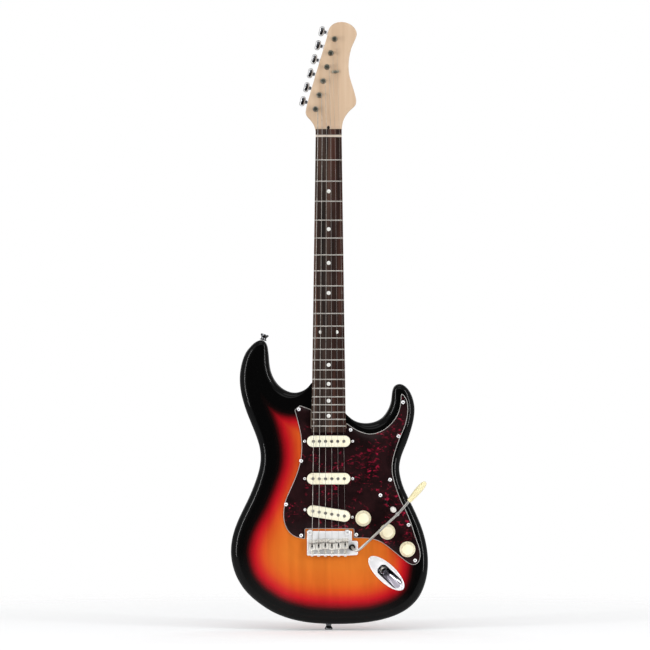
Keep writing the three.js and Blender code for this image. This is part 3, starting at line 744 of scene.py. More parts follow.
# Nickel painted darker than it is: a painted dark reflection on the tuner posts and the headstock's
# screws.
NICKEL_PAINTED_DARK_REFLECTION = metal("nickel_painted_dark_reflection", (124, 127, 117), (92, 95, 86), 0.3, 0.45)
WOUND_STRING = wound_steel()
FRET_WIRE = metal("fret_nickel", (218, 214, 205), (184, 180, 172), 0.16, 0.3, brushed=(1, 1, 0.1))
CAST_METAL = metal("cast_zinc", (172, 170, 168), (138, 136, 134), 0.3, 0.5, depth=0.00002)
CAVITY_PAINT = plastic("cavity_paint", (38, 36, 35), (22, 21, 20), 0.8, 300)
# Near black: print for the knob marks, and painted shade on the wall of the truss rod's bore.
BLACK_PRINT_AND_PAINTED_SHADE = plastic("black_print_and_painted_shade", (22, 21, 20), (10, 10, 10), 0.7)
SADDLE_STEEL = metal("saddle_steel", (236, 233, 225), (206, 202, 192), 0.14, 0.3, sheen=0.4)
ARM_STEEL = metal("arm_steel", (196, 194, 188), (168, 166, 160), 0.3, 0.42)
PEARL = pearl()
FELT = felt()

# ---------------------------------------------------------------- small hardware


def crossed(radius, depth):
    """The two blades of a cross recess, cut downwards from z = 0, tapering."""
    tools = []
    for turn in (0.4, 0.4 + math.pi / 2):
        top, low, width = radius * 0.62, radius * 0.3, radius * 0.17
        rings = [[(-r, -w, z), (r, -w, z), (r, w, z), (-r, w, z)]
                 for r, w, z in ((low, width * 0.6, -depth), (top, width, 0.6))]
        tools.append(placed(loft(rings), spin(turn)))
    return tools


def oval_head(radius, height):
    """A countersunk oval head with a cross recess, resting on z = 0."""
    dome = [(0, -1.2), (radius * 0.45, -1.2), (radius * 0.98, -0.02), (radius, 0.12)]
    for i in range(1, 7):
        angle = i / 6 * math.pi / 2
        dome.append((radius * math.cos(angle), 0.12 + height * math.sin(angle)))
    head = lathe(dome, 28)
    return cut(head, *[placed(tool, shift(0, 0, height + 0.1)) for tool in crossed(radius, 1.3)])


COIL_STEPS = 14
COIL_SIDES = 6
SCREW_SMALL = oval_head(2.3, 0.9)
SCREW_GUARD = oval_head(3.0, 1.1)
SCREW_LARGE = oval_head(4.2, 1.6)
# Turns for a piece that is drawn up z.
FACE_DOWN = spin(math.pi, "X")
UP_THE_NECK = spin(-math.pi / 2, "X")
DOWN_THE_BODY = spin(math.pi / 2, "X")
ALONG_X = spin(math.pi / 2, "Y")


def screws(name, head, places, body="root", facing=Matrix(), finish=None):
    """Identical screws as one piece; places are (x, y, z) under each head."""
    copies = []
    for i, place in enumerate(places):
        copies.append(placed(head, shift(*place) @ facing @ spin(1.7 * i)))
    piece(name, joined(*copies), finish or CHROME, body)


def coil(radius, wire, length, turns):
    """A close spring up z from 0."""
    count = int(turns * COIL_STEPS)
    path = []
    for i in range(count + 1):
        angle = i / COIL_STEPS * 2 * math.pi
        path.append((radius * math.cos(angle), radius * math.sin(angle), length * i / count))
    return tube(path, wire, COIL_SIDES)


# ---------------------------------------------------------------- body

NUT = span("nut").low.y - 0.6
FACE = span("body").high.z
BACK = -FACE
EDGE = 12
HEEL_EDGE = 2
HEEL_MOUTH = [(-28, NUT - 396), (26.5, NUT - 396), (27, NUT - 446)]
FILL_SPACING = 5.5
OPEN_FRONT = FACE + 3
OPEN_BACK = BACK - 3
WIRING_FLOOR = -13.5
FOREARM = SimpleNamespace(place=(-84, NUT - 640), lean=0.2, tilt=0.165, blend=14)
SCOOP = SimpleNamespace(place=(-45, NUT - 500), tilt=0.213, drum=330, blend=4)


def face_height(points):
    """The front surface: flat, then falling to the bass side where the forearm rests."""
    x, y = (points - FOREARM.place).T
    past = -(x * math.cos(FOREARM.lean) + y * math.sin(FOREARM.lean))
    return FACE - math.tan(FOREARM.tilt) * soft_rise(past, FOREARM.blend)


def back_height(points):
    """The back surface: flat, with a drum-shaped scoop at the waist."""
    x, y = (points - SCOOP.place).T
    depth = -x * math.tan(SCOOP.tilt) - y * y / (2 * SCOOP.drum)
    return BACK + soft_rise(depth, SCOOP.blend)


def edge_radius(edge):
    """The rounding along the body's edge: small at the heel, and tighter at the tips of the horns."""
    near_heel = distance_to(edge, HEEL_MOUTH, closed=False)
    wanted = HEEL_EDGE + (EDGE - HEEL_EDGE) * smoothstep(3, 26, near_heel)
    after, before = np.roll(edge, -1, 0) - edge, edge - np.roll(edge, 1, 0)
    turning = before[:, 0] * after[:, 1] - before[:, 1] * after[:, 0]
    bend = turning / np.linalg.norm(after, axis=1) ** 3
    room = np.where(bend > 0.01, 0.82 / np.maximum(bend, 0.01), EDGE)
    limited = np.minimum(wanted, room)
    tightest = np.min([np.roll(limited, step) for step in range(-6, 7)], axis=0)
    return softened(tightest[:, None], 9, 2.5)[:, 0]


def body_rings(edge, radius):
    """The rounded rim of the body, from the flat of its back round to the flat of its face."""
    normals = outward(edge)
    quarter = np.linspace(0, math.pi / 2, 9)
    flat = edge - normals * (radius * 1.08)[:, None]
    rings = [np.column_stack([flat, back_height(flat)])]
    for surface, upwards, angles in ((back_height, 1, quarter[::-1]), (face_height, -1, quarter)):
        for angle in angles:
            level = edge - normals * (radius * (1 - math.cos(angle)))[:, None]
            drop = upwards * radius * (1 - math.sin(angle))
            rings.append(np.column_stack([level, surface(level) + drop]))
    return rings + [np.column_stack([flat, face_height(flat)])]


def body_shell(edge):
    """The solid body before any cavity is cut."""
    rings = body_rings(edge, edge_radius(edge))
    flat = rings[0][:, :2]
    points, faces = loft(rings, caps=False)
    low, high = edge.min(0), edge.max(0)
    grid = np.array([(x, y) for x in np.arange(low[0], high[0], FILL_SPACING)
                     for y in np.arange(low[1], high[1], FILL_SPACING)])
    grid = grid[inside(grid, flat)]
    grid = grid[distance_to(grid, flat) > 3]
    flat_points = [Vector(p) for p in np.vstack([flat, grid])]
    made = geometry.delaunay_2d_cdt(flat_points, [], [list(range(len(flat)))], 1, 1e-4)
    for surface, rim in ((face_height, (len(rings) - 1) * len(edge)), (back_height, 0)):
        inner = len(points) - len(flat)
        points += [(*p, z) for p, z in zip(grid, surface(grid))]
        numbers = [source[0] + (rim if source[0] < len(flat) else inner) for source in made[3]]
        faces += [tuple(numbers[i] for i in face) for face in made[2]]
    return points, faces


def rout(name, length, width, bottom, along=0.0):
    """A round-ended pocket, open at the front, that is lined up with a CAD node."""
    turn = heading_of(name)
    place = span(name).centre + along * Vector((math.cos(turn), math.sin(turn), 0))
    return slab(moved(capsule(length, width), place, turn), bottom, OPEN_FRONT)


def wiring_channels():
    """Pockets between the three knobs and from the switch to the middle one."""
    knobs = [span(name).centre.xy for name in KNOBS]
    switch = span("switch_body").centre.xy
    channels = []
    for a, b in ((knobs[0], knobs[1]), (knobs[1], knobs[2]), (switch, knobs[1])):
        middle, run = (a + b) / 2, b - a
        channel = moved(capsule(run.length + 28, 28), middle, math.atan2(run.y, run.x))
        channels.append(slab(channel, WIRING_FLOOR, OPEN_FRONT))
    return channels


def body_cavities():
    """Cutting tools for the neck pocket, the routs, the spring cavity and the stud holes."""
    heel, board, block_box = span("neck"), span("fretboard"), span("trem_block")
    half_mouth = board.high.x - 1.1
    pocket = [(-half_mouth, NUT - 380), (half_mouth, NUT - 380),
              (board.high.x + 0.2, heel.low.y - 0.3), (board.low.x - 0.2, heel.low.y - 0.3)]
    slot = rectangle(-34.2, 34.2, block_box.low.y - 13, block_box.high.y + 1, 4)
    springs = rectangle(-29, 29, block_box.high.y - 4, block_box.high.y + 98, 6)
    tools = [slab(pocket, heel_floor() - 0.2, OPEN_FRONT)]
    tools += [rout(name, 88, 24, span(name).low.z - 4) for name in PICKUPS]
    tools += wiring_channels()
    tools.append(rout("switch_body", 52, 20, WIRING_FLOOR))
    tools.append(slab(slot, OPEN_BACK, OPEN_FRONT))
    tools.append(slab(springs, OPEN_BACK, -6.5))
    for where in map(span, STUDS):
        tools.append(slab(moved(circle(3.7), where.centre), where.low.z - 1, OPEN_FRONT))
    tools.append(rout("jack_plate", 56, 23, -9, along=6))
    return tools


def heel_floor():
    """The height of the neck's flat underside in its pocket."""
    points = corners_of("neck")
    return float(points[points[:, 1] < NUT - 440][:, 2].min())


def build_body():
    """The hollowed body, with painted cavities and its edge distance for the sunburst."""
    edge = fair(outlines_at("body", 0)[0], 2.5, 2.0)
    shape = cut(body_shell(edge), *body_cavities())
    body = piece("body_shell", shape, [LACQUER, CAVITY_PAINT],
                 stands_for=["body"])
    centres = np.array([UNSTAND @ face.center for face in body.data.polygons])
    depth = np.minimum(face_height(centres[:, :2]) - centres[:, 2],
                       centres[:, 2] - back_height(centres[:, :2]))
    hidden = (depth > 0.4) & (distance_to(centres[:, :2], edge) > EDGE + 1)
    body.data.polygons.foreach_set("material_index", hidden.astype(np.int32))
    flat = np.array([(UNSTAND @ v.co).xy for v in body.data.vertices])
    # The black border is wider towards the horns than at the bottom.
    widening = 0.04 * (flat[:, 1] - 110)
    reach = distance_to(flat, edge) - np.clip(widening, -4, 10)
    values = body.data.attributes.new(FROM_EDGE, "FLOAT", "POINT")
    values.data.foreach_set("value", reach.astype(np.float32))


build_body()

# ---------------------------------------------------------------- neck

NUT_HALF = span("nut").size.x / 2
BOARD = span("fretboard")
BOARD_BOTTOM = BOARD.low.z - 0.15
BOARD_TOP = BOARD.high.z
BOARD_RADIUS = 305
SCALE = 647.7
FRETS = range(1, 23)
FRET_HALF = 1.1
DOTTED_FRETS = (3, 5, 7, 9, 12, 15, 17, 19, 21)
OCTAVE = 12
NUT_SHELF = 28.3
HEEL_END = NUT - 470
HEADSTOCK_FACE = 21.5
HEADSTOCK_BACK = 7
NECK_PROFILE = [
    # up from the nut, top, back, squareness of the back
    (-474, BOARD_BOTTOM, 6.8, 14), (-396, BOARD_BOTTOM, 6.8, 12), (-378, BOARD_BOTTOM, 7.8, 5),
    (-355, BOARD_BOTTOM, 9, 2.6), (-324, BOARD_BOTTOM, 9.6, 2.3), (-30, BOARD_BOTTOM, 11.4, 2.2),
    (0, BOARD_BOTTOM, 11.2, 2.2), (13.4, BOARD_BOTTOM, 10.4, 2.4), (13.8, 25.2, 10.4, 2.4),
    (16.5, 23.4, 10, 2.6), (20.5, 22, 9.2, 3.2), (26, HEADSTOCK_FACE, 8.3, 5),
    (36, HEADSTOCK_FACE, 7.2, 9), (60, HEADSTOCK_FACE, HEADSTOCK_BACK, 14),
    (200, HEADSTOCK_FACE, HEADSTOCK_BACK, 14),
]


def half_width(up):
    """Half the fretboard's width at a height above the nut."""
    widening = (BOARD.high.x - NUT_HALF) / (NUT - BOARD.low.y)
    return NUT_HALF + widening * max(-up, 0)


def crossings(loop, y):
    """The outermost x on each side where an outline crosses the height y."""
    a, b = loop, np.roll(loop, -1, 0)
    across = (a[:, 1] > y) != (b[:, 1] > y)
    a, b = a[across], b[across]
    x = a[:, 0] + (y - a[:, 1]) * (b[:, 0] - a[:, 0]) / (b[:, 1] - a[:, 1])
    return x.min(), x.max()


def neck_ring(y, left, right, top, back, squareness, edge):
    """A cross-section: a flat top with eased corners over a rounded back."""
    middle, half = (left + right) / 2, (right - left) / 2
    edge = min(edge, half * 0.9)
    ring = [(x, y, top) for x in np.linspace(left + edge, right - edge, 9)]
    turns = np.linspace(0, math.pi / 2, 5)[1:-1]
    ring += [(right - edge * (1 - math.sin(t)), y, top - edge * (1 - math.cos(t))) for t in turns]
    shoulder = top - max(edge, 0.5)
    for angle in np.linspace(0, math.pi, 33):
        c, s = math.cos(angle), math.sin(angle)
        x = middle + half * math.copysign(abs(c) ** (2 / squareness), c)
        ring.append((x, y, shoulder - (shoulder - back) * max(s, 0) ** (2 / squareness)))
    ring += [(left + edge * (1 - math.cos(t)), y, top - edge * (1 - math.sin(t))) for t in turns]
    return ring


def neck_rings():
    """Cross-sections from the heel to the tip of the headstock."""
    head = fair(outlines_at("neck", 14)[0], 0.8, 1.0)
    tip = head[:, 1].max()
    near_tip = [tip - 0.02 - 14 * (1 - math.cos(t)) for t in np.linspace(0, math.pi / 2, 16)]
    levels = list(np.arange(HEEL_END, NUT + 12, 3)) + list(np.arange(NUT + 12, tip - 14, 1.5))
    levels = sorted(levels + near_tip)
    up, tops, backs, squares = np.array(NECK_PROFILE).T
    fine = np.arange(up[0], up[-1], 0.5)
    back_line, square_line = [
        np.convolve(np.pad(np.interp(fine, up, line), 16, "edge"), bell(16, 6), "valid")
        for line in (backs, squares)]
    rings = []
    for y in levels:
        rise = y - NUT
        left, right = -half_width(rise), half_width(rise)
        edge = 0.35
        if rise > 11.5:
            left, right = crossings(head, y)
            edge = 0.35 + 1.5 * smoothstep(14, 30, rise)
        top = np.interp(rise, up, tops)
        back = np.interp(rise, fine, back_line)
        rings.append(neck_ring(y, left, right, top, back, np.interp(rise, fine, square_line), edge))
    return rings


def build_neck():
    """The neck, bored for the tuner posts and for the truss rod behind the nut."""
    bores = [slab(moved(circle(4.75), span(f"tuner_post_{n}").centre), 0, 24)
             for n in STRINGS]
    at_rod = shift(-0.4, NUT + 4, 20.2) @ spin(0.3, "X") @ UP_THE_NECK
    rod_hole = placed(slab(circle(2.4, 24), 0, 40), at_rod)
    shape = cut(loft(neck_rings()), *bores, rod_hole)
    from_rod = at_rod.inverted()

    def hole(centre, normal):
        """The wall of the truss rod's bore gets the near-black finish: painted shade in the recess.
        """
        on_wall = 2.2 < (from_rod @ centre).xy.length < 2.5
        return 1 if on_wall and abs((from_rod.to_3x3() @ normal).z) < 0.05 else 0

    piece("neck_and_headstock", shape, [NECK_MAPLE, BLACK_PRINT_AND_PAINTED_SHADE], stands_for=["neck"],
          crease=40, paint=hole)
    rod_nut = placed(lathe([(1.2, 3), (1.2, 6), (2.2, 6), (2.2, 3)], 6), at_rod)
    piece("truss_rod_nut", rod_nut, STEEL)


def board_drop(x):
    """How far the fretboard's crown has fallen at x."""
    return x * x / (2 * BOARD_RADIUS)


def build_fretboard():
    """The crowned board, the shelf under the nut, and the strip of board behind it."""
    steps = 16
    levels = [(NUT - 476, 0.5), (NUT - 475.4, 0.0)] + [
        (y, 0.0) for y in np.linspace(HEEL_END, NUT + 0.6, 40)]
    behind_nut = [(NUT + 4.6, 0.0), (NUT + 13, 0.0), (NUT + 13.6, 0.4)]

    def rings(rows):
        made = []
        for y, ease in rows:
            half = half_width(y - NUT) - 0.05
            low = [(half, y, BOARD_BOTTOM), (-half, y, BOARD_BOTTOM)]
            flanks = [(-half, y, BOARD_TOP - board_drop(half) - 0.5 - ease)]
            crown = [(x, y, BOARD_TOP - board_drop(x) - ease)
                     for x in np.linspace(-half + 0.45, half - 0.45, steps + 1)]
            made.append(low + flanks + crown + [(half, flanks[0][1], flanks[0][2])])
        return made

    shape = joined(loft(rings(levels)), loft(rings(behind_nut)),
                   loft([[(NUT_HALF, y, BOARD_BOTTOM), (-NUT_HALF, y, BOARD_BOTTOM),
                          (-NUT_HALF, y, NUT_SHELF), (NUT_HALF, y, NUT_SHELF)]
                         for y in (NUT + 0.6, NUT + 4.6)]))
    piece("fretboard_crowned", shape, ROSEWOOD, stands_for=["fretboard"])


def fret_height(number):
    """How far a fret lies below the nut."""
    return SCALE * (1 - 2 ** (-number / 12))


def build_frets():
    """Wires that follow the board's crown, with their ends dressed down."""
    wires = []
    for number in FRETS:
        y = NUT - fret_height(number)
        half = half_width(y - NUT) - 0.2
        rings = []
        for x in np.linspace(-half, half, 15):
            rise = 1.0 if abs(x) < half - 0.5 else 0.35
            base = BOARD_TOP - board_drop(x)
            ring = [(x, y - FRET_HALF, base - 0.4), (x, y + FRET_HALF, base - 0.4)]
            for angle in np.linspace(0, math.pi, 7):
                ring.append((x, y + FRET_HALF * math.cos(angle), base + rise * math.sin(angle)))
            rings.append(ring)
        wires.append(loft(rings))
    piece("frets", joined(*wires), FRET_WIRE, crease=50)


def build_dots():
    """Pearl dots on the board and small ones on its bass edge, in pairs at the octave."""
    large = lathe([(0, -1), (3.2, -1), (3.2, -0.05), (3.05, 0.04), (0, 0.1)], 32)
    small = lathe([(0, -1), (1.0, -1), (1.0, 0.02), (0, 0.04)], 20)
    faces, sides = [], []
    for number in DOTTED_FRETS:
        y = NUT - (fret_height(number) + fret_height(number - 1)) / 2
        for x in ((-12.6, 12.6) if number == OCTAVE else (0,)):
            top = BOARD_TOP - board_drop(abs(x) + 2) + 0.05
            faces.append(placed(large, shift(x, y, top) @ spin(-x / BOARD_RADIUS, "Y")))
        for along in ((-2.5, 2.5) if number == OCTAVE else (0,)):
            on_edge = shift(-half_width(y - NUT), y + along, 28.6)
            sides.append(placed(small, on_edge @ spin(-math.pi / 2, "Y")))
    piece("position_dots", joined(*faces), PEARL)
    piece("side_dots", joined(*sides), PEARL)


def build_nut():
    """The nut: a rounded bone bar with a sloping, slotted crown."""
    where = span("nut")
    front, rear = where.low.y, where.high.y
    rings = []
    xs = np.linspace(-NUT_HALF + 0.02, NUT_HALF - 0.02, 25)
    for i, x in enumerate(xs):
        top = where.high.z - board_drop(x) - (0.7 if i in (0, len(xs) - 1) else 0)
        profile = [(front, 28.5), (front, top - 0.5), (front + 0.35, top - 0.1),
                   (front + 0.9, top), (front + 2.2, top - 0.25), (rear - 0.6, top - 1.2),
                   (rear, top - 1.9), (rear, 28.5)]
        rings.append([(x, y, z) for y, z in profile])
    slots = []
    for number in STRINGS:
        _, start, end, _ = string_path(number)
        # The second bore, above the first, opens each slot at the top.
        for lift in (0, 1.2):
            path = [start + Vector((0, -3, lift)), end + Vector((0, 3, lift - 0.4))]
            slots.append(tube(path, string_radius(number) + 0.06, 10))
    piece("bone_nut", cut(loft(rings), *slots), BONE, stands_for=["nut"], crease=30)


# ---------------------------------------------------------------- strings

TREMOLO = joint("tremolo_pivot")
STRING_TREE = Vector((10.9, NUT + 106.5, 23.8))
WOUND_FROM = 4


def string_path(number):
    """Where the CAD string turns: at its saddle, the front and back of the nut, and its post."""
    points = corners_of(f"string_{number}")
    heights = sorted(set(points[:, 1].round(1)))
    rings = [points[np.abs(points[:, 1] - y) < 0.2] for y in heights]
    return [Vector((r.min(0) + r.max(0)) / 2) for r in rings]


def string_radius(number):
    """Half the CAD string's width at its saddle."""
    points = corners_of(f"string_{number}")
    first = points[points[:, 1] < points[:, 1].min() + 0.2]
    return float(np.ptp(first[:, 0])) / 2


def string_piece(number, part, path, body, sides=10):
    """One piece of a string, named for its part."""
    finish = WOUND_STRING if number >= WOUND_FROM else PLAIN_STRING
    shape = tube(path, string_radius(number), sides)
    return piece(f"string_{number}_{part}", shape, finish, body)


def build_speaking_length(number):
    """From the saddle to the nut."""
    saddle, front = string_path(number)[:2]
    # The straight end reaches past the saddle, so that it still meets a saddle slid back.
    past = saddle + (saddle - front).normalized() * 3.2
    run = [past] + [saddle.lerp(front, t) for t in np.linspace(0, 1, 25)]
    speaking = string_piece(number, "speaking", run, "root")
    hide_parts(f"string_{number}")
    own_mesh(speaking)


def build_string_head(number):
    """From the nut, for the two thinnest strings by way of the string tree, to the post."""
    _, front, rear, post_side = string_path(number)
    stops = [front, front.lerp(rear, 0.5) + Vector((0, 0, 0.05)), rear]
    if number < 3:
        side = STRING_TREE.x + (3.6 if number == 1 else -3.6)
        stops += [Vector((side, STRING_TREE.y + y, STRING_TREE.z + z))
                  for y, z in ((-4, 0.3), (0, 0), (4, 0.2))]
    stops.append(post_side)
    line = [stops[0]]
    for a, b in zip(stops, stops[1:]):
        line += [a.lerp(b, t) for t in np.linspace(0, 1, 7)[1:]]
    string_piece(number, "head", line, "root")


def build_string_turns(number):
    """The turns around the post, wound downwards."""
    post_side = string_path(number)[3]
    centre = span(f"tuner_post_{number}").centre
    post = Vector((centre.x, centre.y, post_side.z))
    reach = (post_side - post).x + 0.02
    pitch = 2.1 * string_radius(number)
    turns = 2.5 if number >= WOUND_FROM else 3.5
    coils = []
    for i in range(int(turns * 20) + 1):
        angle = i / 20 * 2 * math.pi
        around = Vector((math.cos(angle), -math.sin(angle), 0)) * reach
        coils.append(post + around + Vector((0, 0, -i / 20 * pitch)))
    string_piece(number, "turns", coils, f"post_{number}", 8)


def build_string_tail(number):
    """From the saddle down through the plate into the block."""
    saddle = string_path(number)[0]
    well = saddle + Vector((0, -6.2, 0))
    stops = [saddle, saddle + Vector((0, -1.5, -0.25)), saddle + Vector((0, -4.2, -1.9)),
             well + Vector((0, -0.4, -4.5)), well + Vector((0, 0.6, -9)),
             Vector((saddle.x, span("trem_block").centre.y, 20))]
    run = [Vector(p) for p in spline([tuple(p) for p in stops], 5)]
    tail = string_piece(number, "tail", run, None)
    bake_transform(tail)


build_neck()
build_fretboard()
build_frets()
build_dots()
build_nut()
for number in STRINGS:
    build_speaking_length(number)
    build_string_head(number)
    build_string_turns(number)
    build_string_tail(number)

# ---------------------------------------------------------------- pickguard

GUARD_SCREWS = [(-48.2, 438.9), (35.5, 472.2), (120.3, 427.6), (113, 482.4), (99.2, 552.7),
                (129.3, 625.7), (139.7, 683.2), (44.7, 641.7), (-44.4, 643), (-68.8, 592.6),
                (-44.4, 522.3)]


def build_guard():
    """Three plies, with the pale middle showing on the bevelled edge."""
    where = span("pickguard")
    bottom, top = FACE + 0.05, where.high.z
    outline = fair(outlines_at("pickguard", where.centre.z)[0], 1.2, 1.0, corner=0.5)
    levels = [(0, bottom), (0, bottom + 0.5), (0.2, bottom + 0.75), (0.6, bottom + 1.3),
              (1.0, bottom + 1.8), (1.4, top - 0.08), (1.6, top)]
    holes = [moved(capsule(71, 19.2, 16), span(name).centre, heading_of(name)) for name in PICKUPS]
    holes += [moved(circle(4.9), span(name).centre) for name in KNOBS]
    holes.append(moved(capsule(23, 2.6), span("switch_body").centre, heading_of("switch_body")))

    def ply(centre, normal):
        """Tortoiseshell on top, then the pale ply in the middle and the dark one below."""
        if abs(normal.z) > 0.97 or centre.z > bottom + 1.85:
            return 0
        return 1 if bottom + 0.45 < centre.z else 2

    piece("pickguard_plies", sheet(outline, levels, holes), [TORTOISE, WHITE_PLY, BLACK_PLY],
          stands_for=["pickguard"], paint=ply, crease=28)
    screws("guard_screws", SCREW_GUARD, [(x, NUT - below, top) for x, below in GUARD_SCREWS])


# ---------------------------------------------------------------- pickups and controls

POLE_PITCH = {"pickup_neck": 9.8, "pickup_middle": 10.1, "pickup_bridge": 10.3}
POLE_RISE = (0.5, 0.7, 1.2, 1.0, 0.4, 0.6)
GUARD_TOP = span("pickguard").high.z
PICKUP_SCREW_REACH = 38.7
SWITCH_SCREW_REACH = 20.6
LEVER_LEAN = 0.454
KNOB_FLUTES = 36
KNOB_MARKS = 11


def build_pickup(name):
    """A single-coil pickup: cover, six pole pieces, base and two height screws."""
    where = span(name)
    stand_at = standing(where.centre, heading_of(name))
    top = where.high.z
    centres = [((i - 2.5) * POLE_PITCH[name], 0) for i in range(6)]
    shell = slab(capsule(70.2, 18.4, 16), where.low.z + 4.2, top, edge=1.8, lower_edge=0.3, steps=5)
    holes = [slab(moved(circle(2.6, 24), centre), top - 3, top + 2) for centre in centres]
    piece(f"{name}_cover", placed(cut(shell, *holes), stand_at), COVER_CREAM,
          stands_for=[name])
    poles = []
    for centre, rise in zip(centres, POLE_RISE):
        crown = top + rise
        pole = lathe([(0, where.low.z + 5), (2.4, where.low.z + 5), (2.4, crown - 0.35),
                      (2.1, crown - 0.05), (1.6, crown), (0, crown)], 28)
        poles.append(placed(pole, shift(*centre)))
    piece(f"{name}_poles", placed(joined(*poles), stand_at), STEEL)
    base = slab(capsule(84, 20, 12), where.low.z, where.low.z + 2, edge=0.3)
    piece(f"{name}_base", placed(base, stand_at), FIBRE)
    ends = [stand_at @ Vector((x, 0, GUARD_TOP)) for x in (-PICKUP_SCREW_REACH, PICKUP_SCREW_REACH)]
    screws(f"{name}_screws", SCREW_SMALL, ends)


def fluted(radius, z, depth):
    """A ring with the shallow grip flutes of a knob."""
    radii = radius - np.array([0, depth, depth, 0] * KNOB_FLUTES)
    return [(*p, z) for p in circle(1, len(radii)) * radii[:, None]]


def build_knob(name):
    """A skirted knob with a fluted barrel, a dished top and marks around the skirt."""
    where = span(name)
    low, top = GUARD_TOP + 0.8, where.high.z
    profile = [(3.2, low, 0), (12.3, low, 0), (12.72, low + 0.5, 0), (12.6, low + 1.2, 0),
               (12.0, low + 2.1, 0), (11.2, low + 3.2, 0), (10.5, low + 4.3, 0),
               (10.05, low + 5.0, 0), (9.95, low + 5.4, 0.2), (9.6, low + 10, 0.22),
               (9.3, top - 1.2, 0.22), (8.9, top - 0.5, 0.1), (8.3, top - 0.1, 0),
               (7.4, top, 0), (6.2, top - 0.3, 0), (3, top - 0.45, 0), (0.05, top - 0.5, 0)]
    rings = [fluted(radius, z, depth) for radius, z, depth in profile]
    at_knob = standing(where.centre)
    piece(f"{name}_cap", placed(loft(rings), at_knob), CREAM, name, [name],
          crease=32)
    marks = []
    tick = slab(rectangle(-0.9, 0.9, -0.15, 0.15, 0.06), -0.1, 0.06)
    for i in range(KNOB_MARKS):
        lean = spin(math.radians(-150 + 30 * i)) @ shift(11.25, 0, low + 3.2) @ spin(0.972, "Y")
        marks.append(placed(tick, lean))
    piece(f"{name}_marks", placed(joined(*marks), at_knob), BLACK_PRINT_AND_PAINTED_SHADE, name)


def build_switch():
    """The selector's blade and tip, which ride its lever, and its two screws."""
    turn, centre = heading_of("switch_body"), span("switch_body").centre
    pivot = joint("pickup_selector").pivot
    points = corners_of("switch_lever")
    crown = Vector(points[points[:, 2] > span("switch_lever").high.z - 3].mean(0))
    tip = lathe([(0, 19.4), (2.6, 19.4), (3.3, 19.8), (3.9, 21.2), (4.35, 23.5), (4.5, 25.6),
                 (4.2, 27.8), (3.5, 29.4), (2.4, 30.4), (1.2, 30.75), (0, 30.8)], 36)
    lean = (crown - pivot).normalized()
    piece("switch_tip", placed(tip, pointing(pivot, lean)), WHITE_TIP, "lever",
          ["switch_lever"])
    blade = slab(rectangle(-1.9, 1.9, -1.1, 1.1, 0.3), 0, 20)
    at_pivot = Matrix.Translation(pivot) @ spin(turn) @ spin(LEVER_LEAN, "Y")
    piece("switch_blade", placed(blade, at_pivot), STEEL, "lever")
    along = Vector((math.cos(turn), math.sin(turn), 0)) * SWITCH_SCREW_REACH
    ends = [(centre + side * along).xy for side in (-1, 1)]
    screws("switch_screws", SCREW_GUARD, [(x, y, GUARD_TOP) for x, y in ends])


build_guard()
for pickup in PICKUPS:
    build_pickup(pickup)
for knob in KNOBS:
    build_knob(knob)
build_switch()

# ---------------------------------------------------------------- bridge

BRIDGE = span("bridge_plate")
PLATE_BOTTOM = BRIDGE.low.z
PLATE_TOP = PLATE_BOTTOM + 2.6
SCREW_LINE = PLATE_TOP + 3.9
LIP_LINE = BRIDGE.low.y + 1.3
SADDLE_LENGTH = 14.5
CONTACT_SETBACK = 2.2
SIDEWAYS = Matrix(((0, 0, 1, 0), (1, 0, 0, 0), (0, 1, 0, 0), (0, 0, 0, 1)))
ARM_SOCKET = joint("arm_swing").pivot


def build_bridge():
    """The plate with its upturned lip, pierced for the strings, the arm and the saddle screws."""
    outline = fair(outlines_at("bridge_plate", PLATE_BOTTOM + 1)[0], 0.7, 0.5, corner=0.4)
    levels = [(0, PLATE_BOTTOM), (0, PLATE_TOP - 0.8), (0.12, PLATE_TOP - 0.4),
              (0.4, PLATE_TOP - 0.12), (0.8, PLATE_TOP)]
    wall = rectangle(-34.6, 34.6, PLATE_BOTTOM + 1, BRIDGE.high.z, 1.8)
    lip = placed(slab(wall, -1.2, 1.2, edge=0.7), shift(0, LIP_LINE) @ DOWN_THE_BODY)
    holes, screw_bores = [moved(circle(3.6), ARM_SOCKET)], []
    for number in STRINGS:
        saddle = span(f"saddle_{number}")
        x = saddle.centre.x
        holes.append(moved(capsule(7, 4.4), (x, saddle.high.y - 8.4), math.pi / 2))
        screw_bores.append(placed(slab(circle(1.7, 16), -3, 3),
                                  shift(x, LIP_LINE, SCREW_LINE) @ DOWN_THE_BODY))
    shape = joined(sheet(outline, levels, holes), cut(lip, *screw_bores))
    piece("bridge_base", shape, CHROME, "bridge", ["bridge_plate"])


def build_bridge_fittings():
    """The arm's collar and bush, and the screws that hold the block."""
    at_socket = standing(ARM_SOCKET)
    collar = lathe([(3.6, PLATE_TOP - 1), (5.3, PLATE_TOP - 1), (5.3, PLATE_TOP + 2.6),
                    (4.8, PLATE_TOP + 3.3), (3.9, PLATE_TOP + 3.4), (3.6, PLATE_TOP + 3.1)])
    # The arm collar is chrome painted dark: a painted dark reflection.
    piece("arm_collar", placed(collar, at_socket), CHROME_PAINTED_DARK_REFLECTION, "bridge")
    bush = lathe([(2.75, PLATE_BOTTOM), (3.55, PLATE_BOTTOM), (3.55, PLATE_TOP + 3),
                  (2.75, PLATE_TOP + 3)])
    piece("arm_bush", placed(bush, at_socket), BLACK_PLASTIC, "bridge")
    mounts = [(x, BRIDGE.high.y - 17, PLATE_TOP - 1) for x in (-16.2, 16.2)]
    screws("block_screws", SCREW_SMALL, mounts, "bridge")


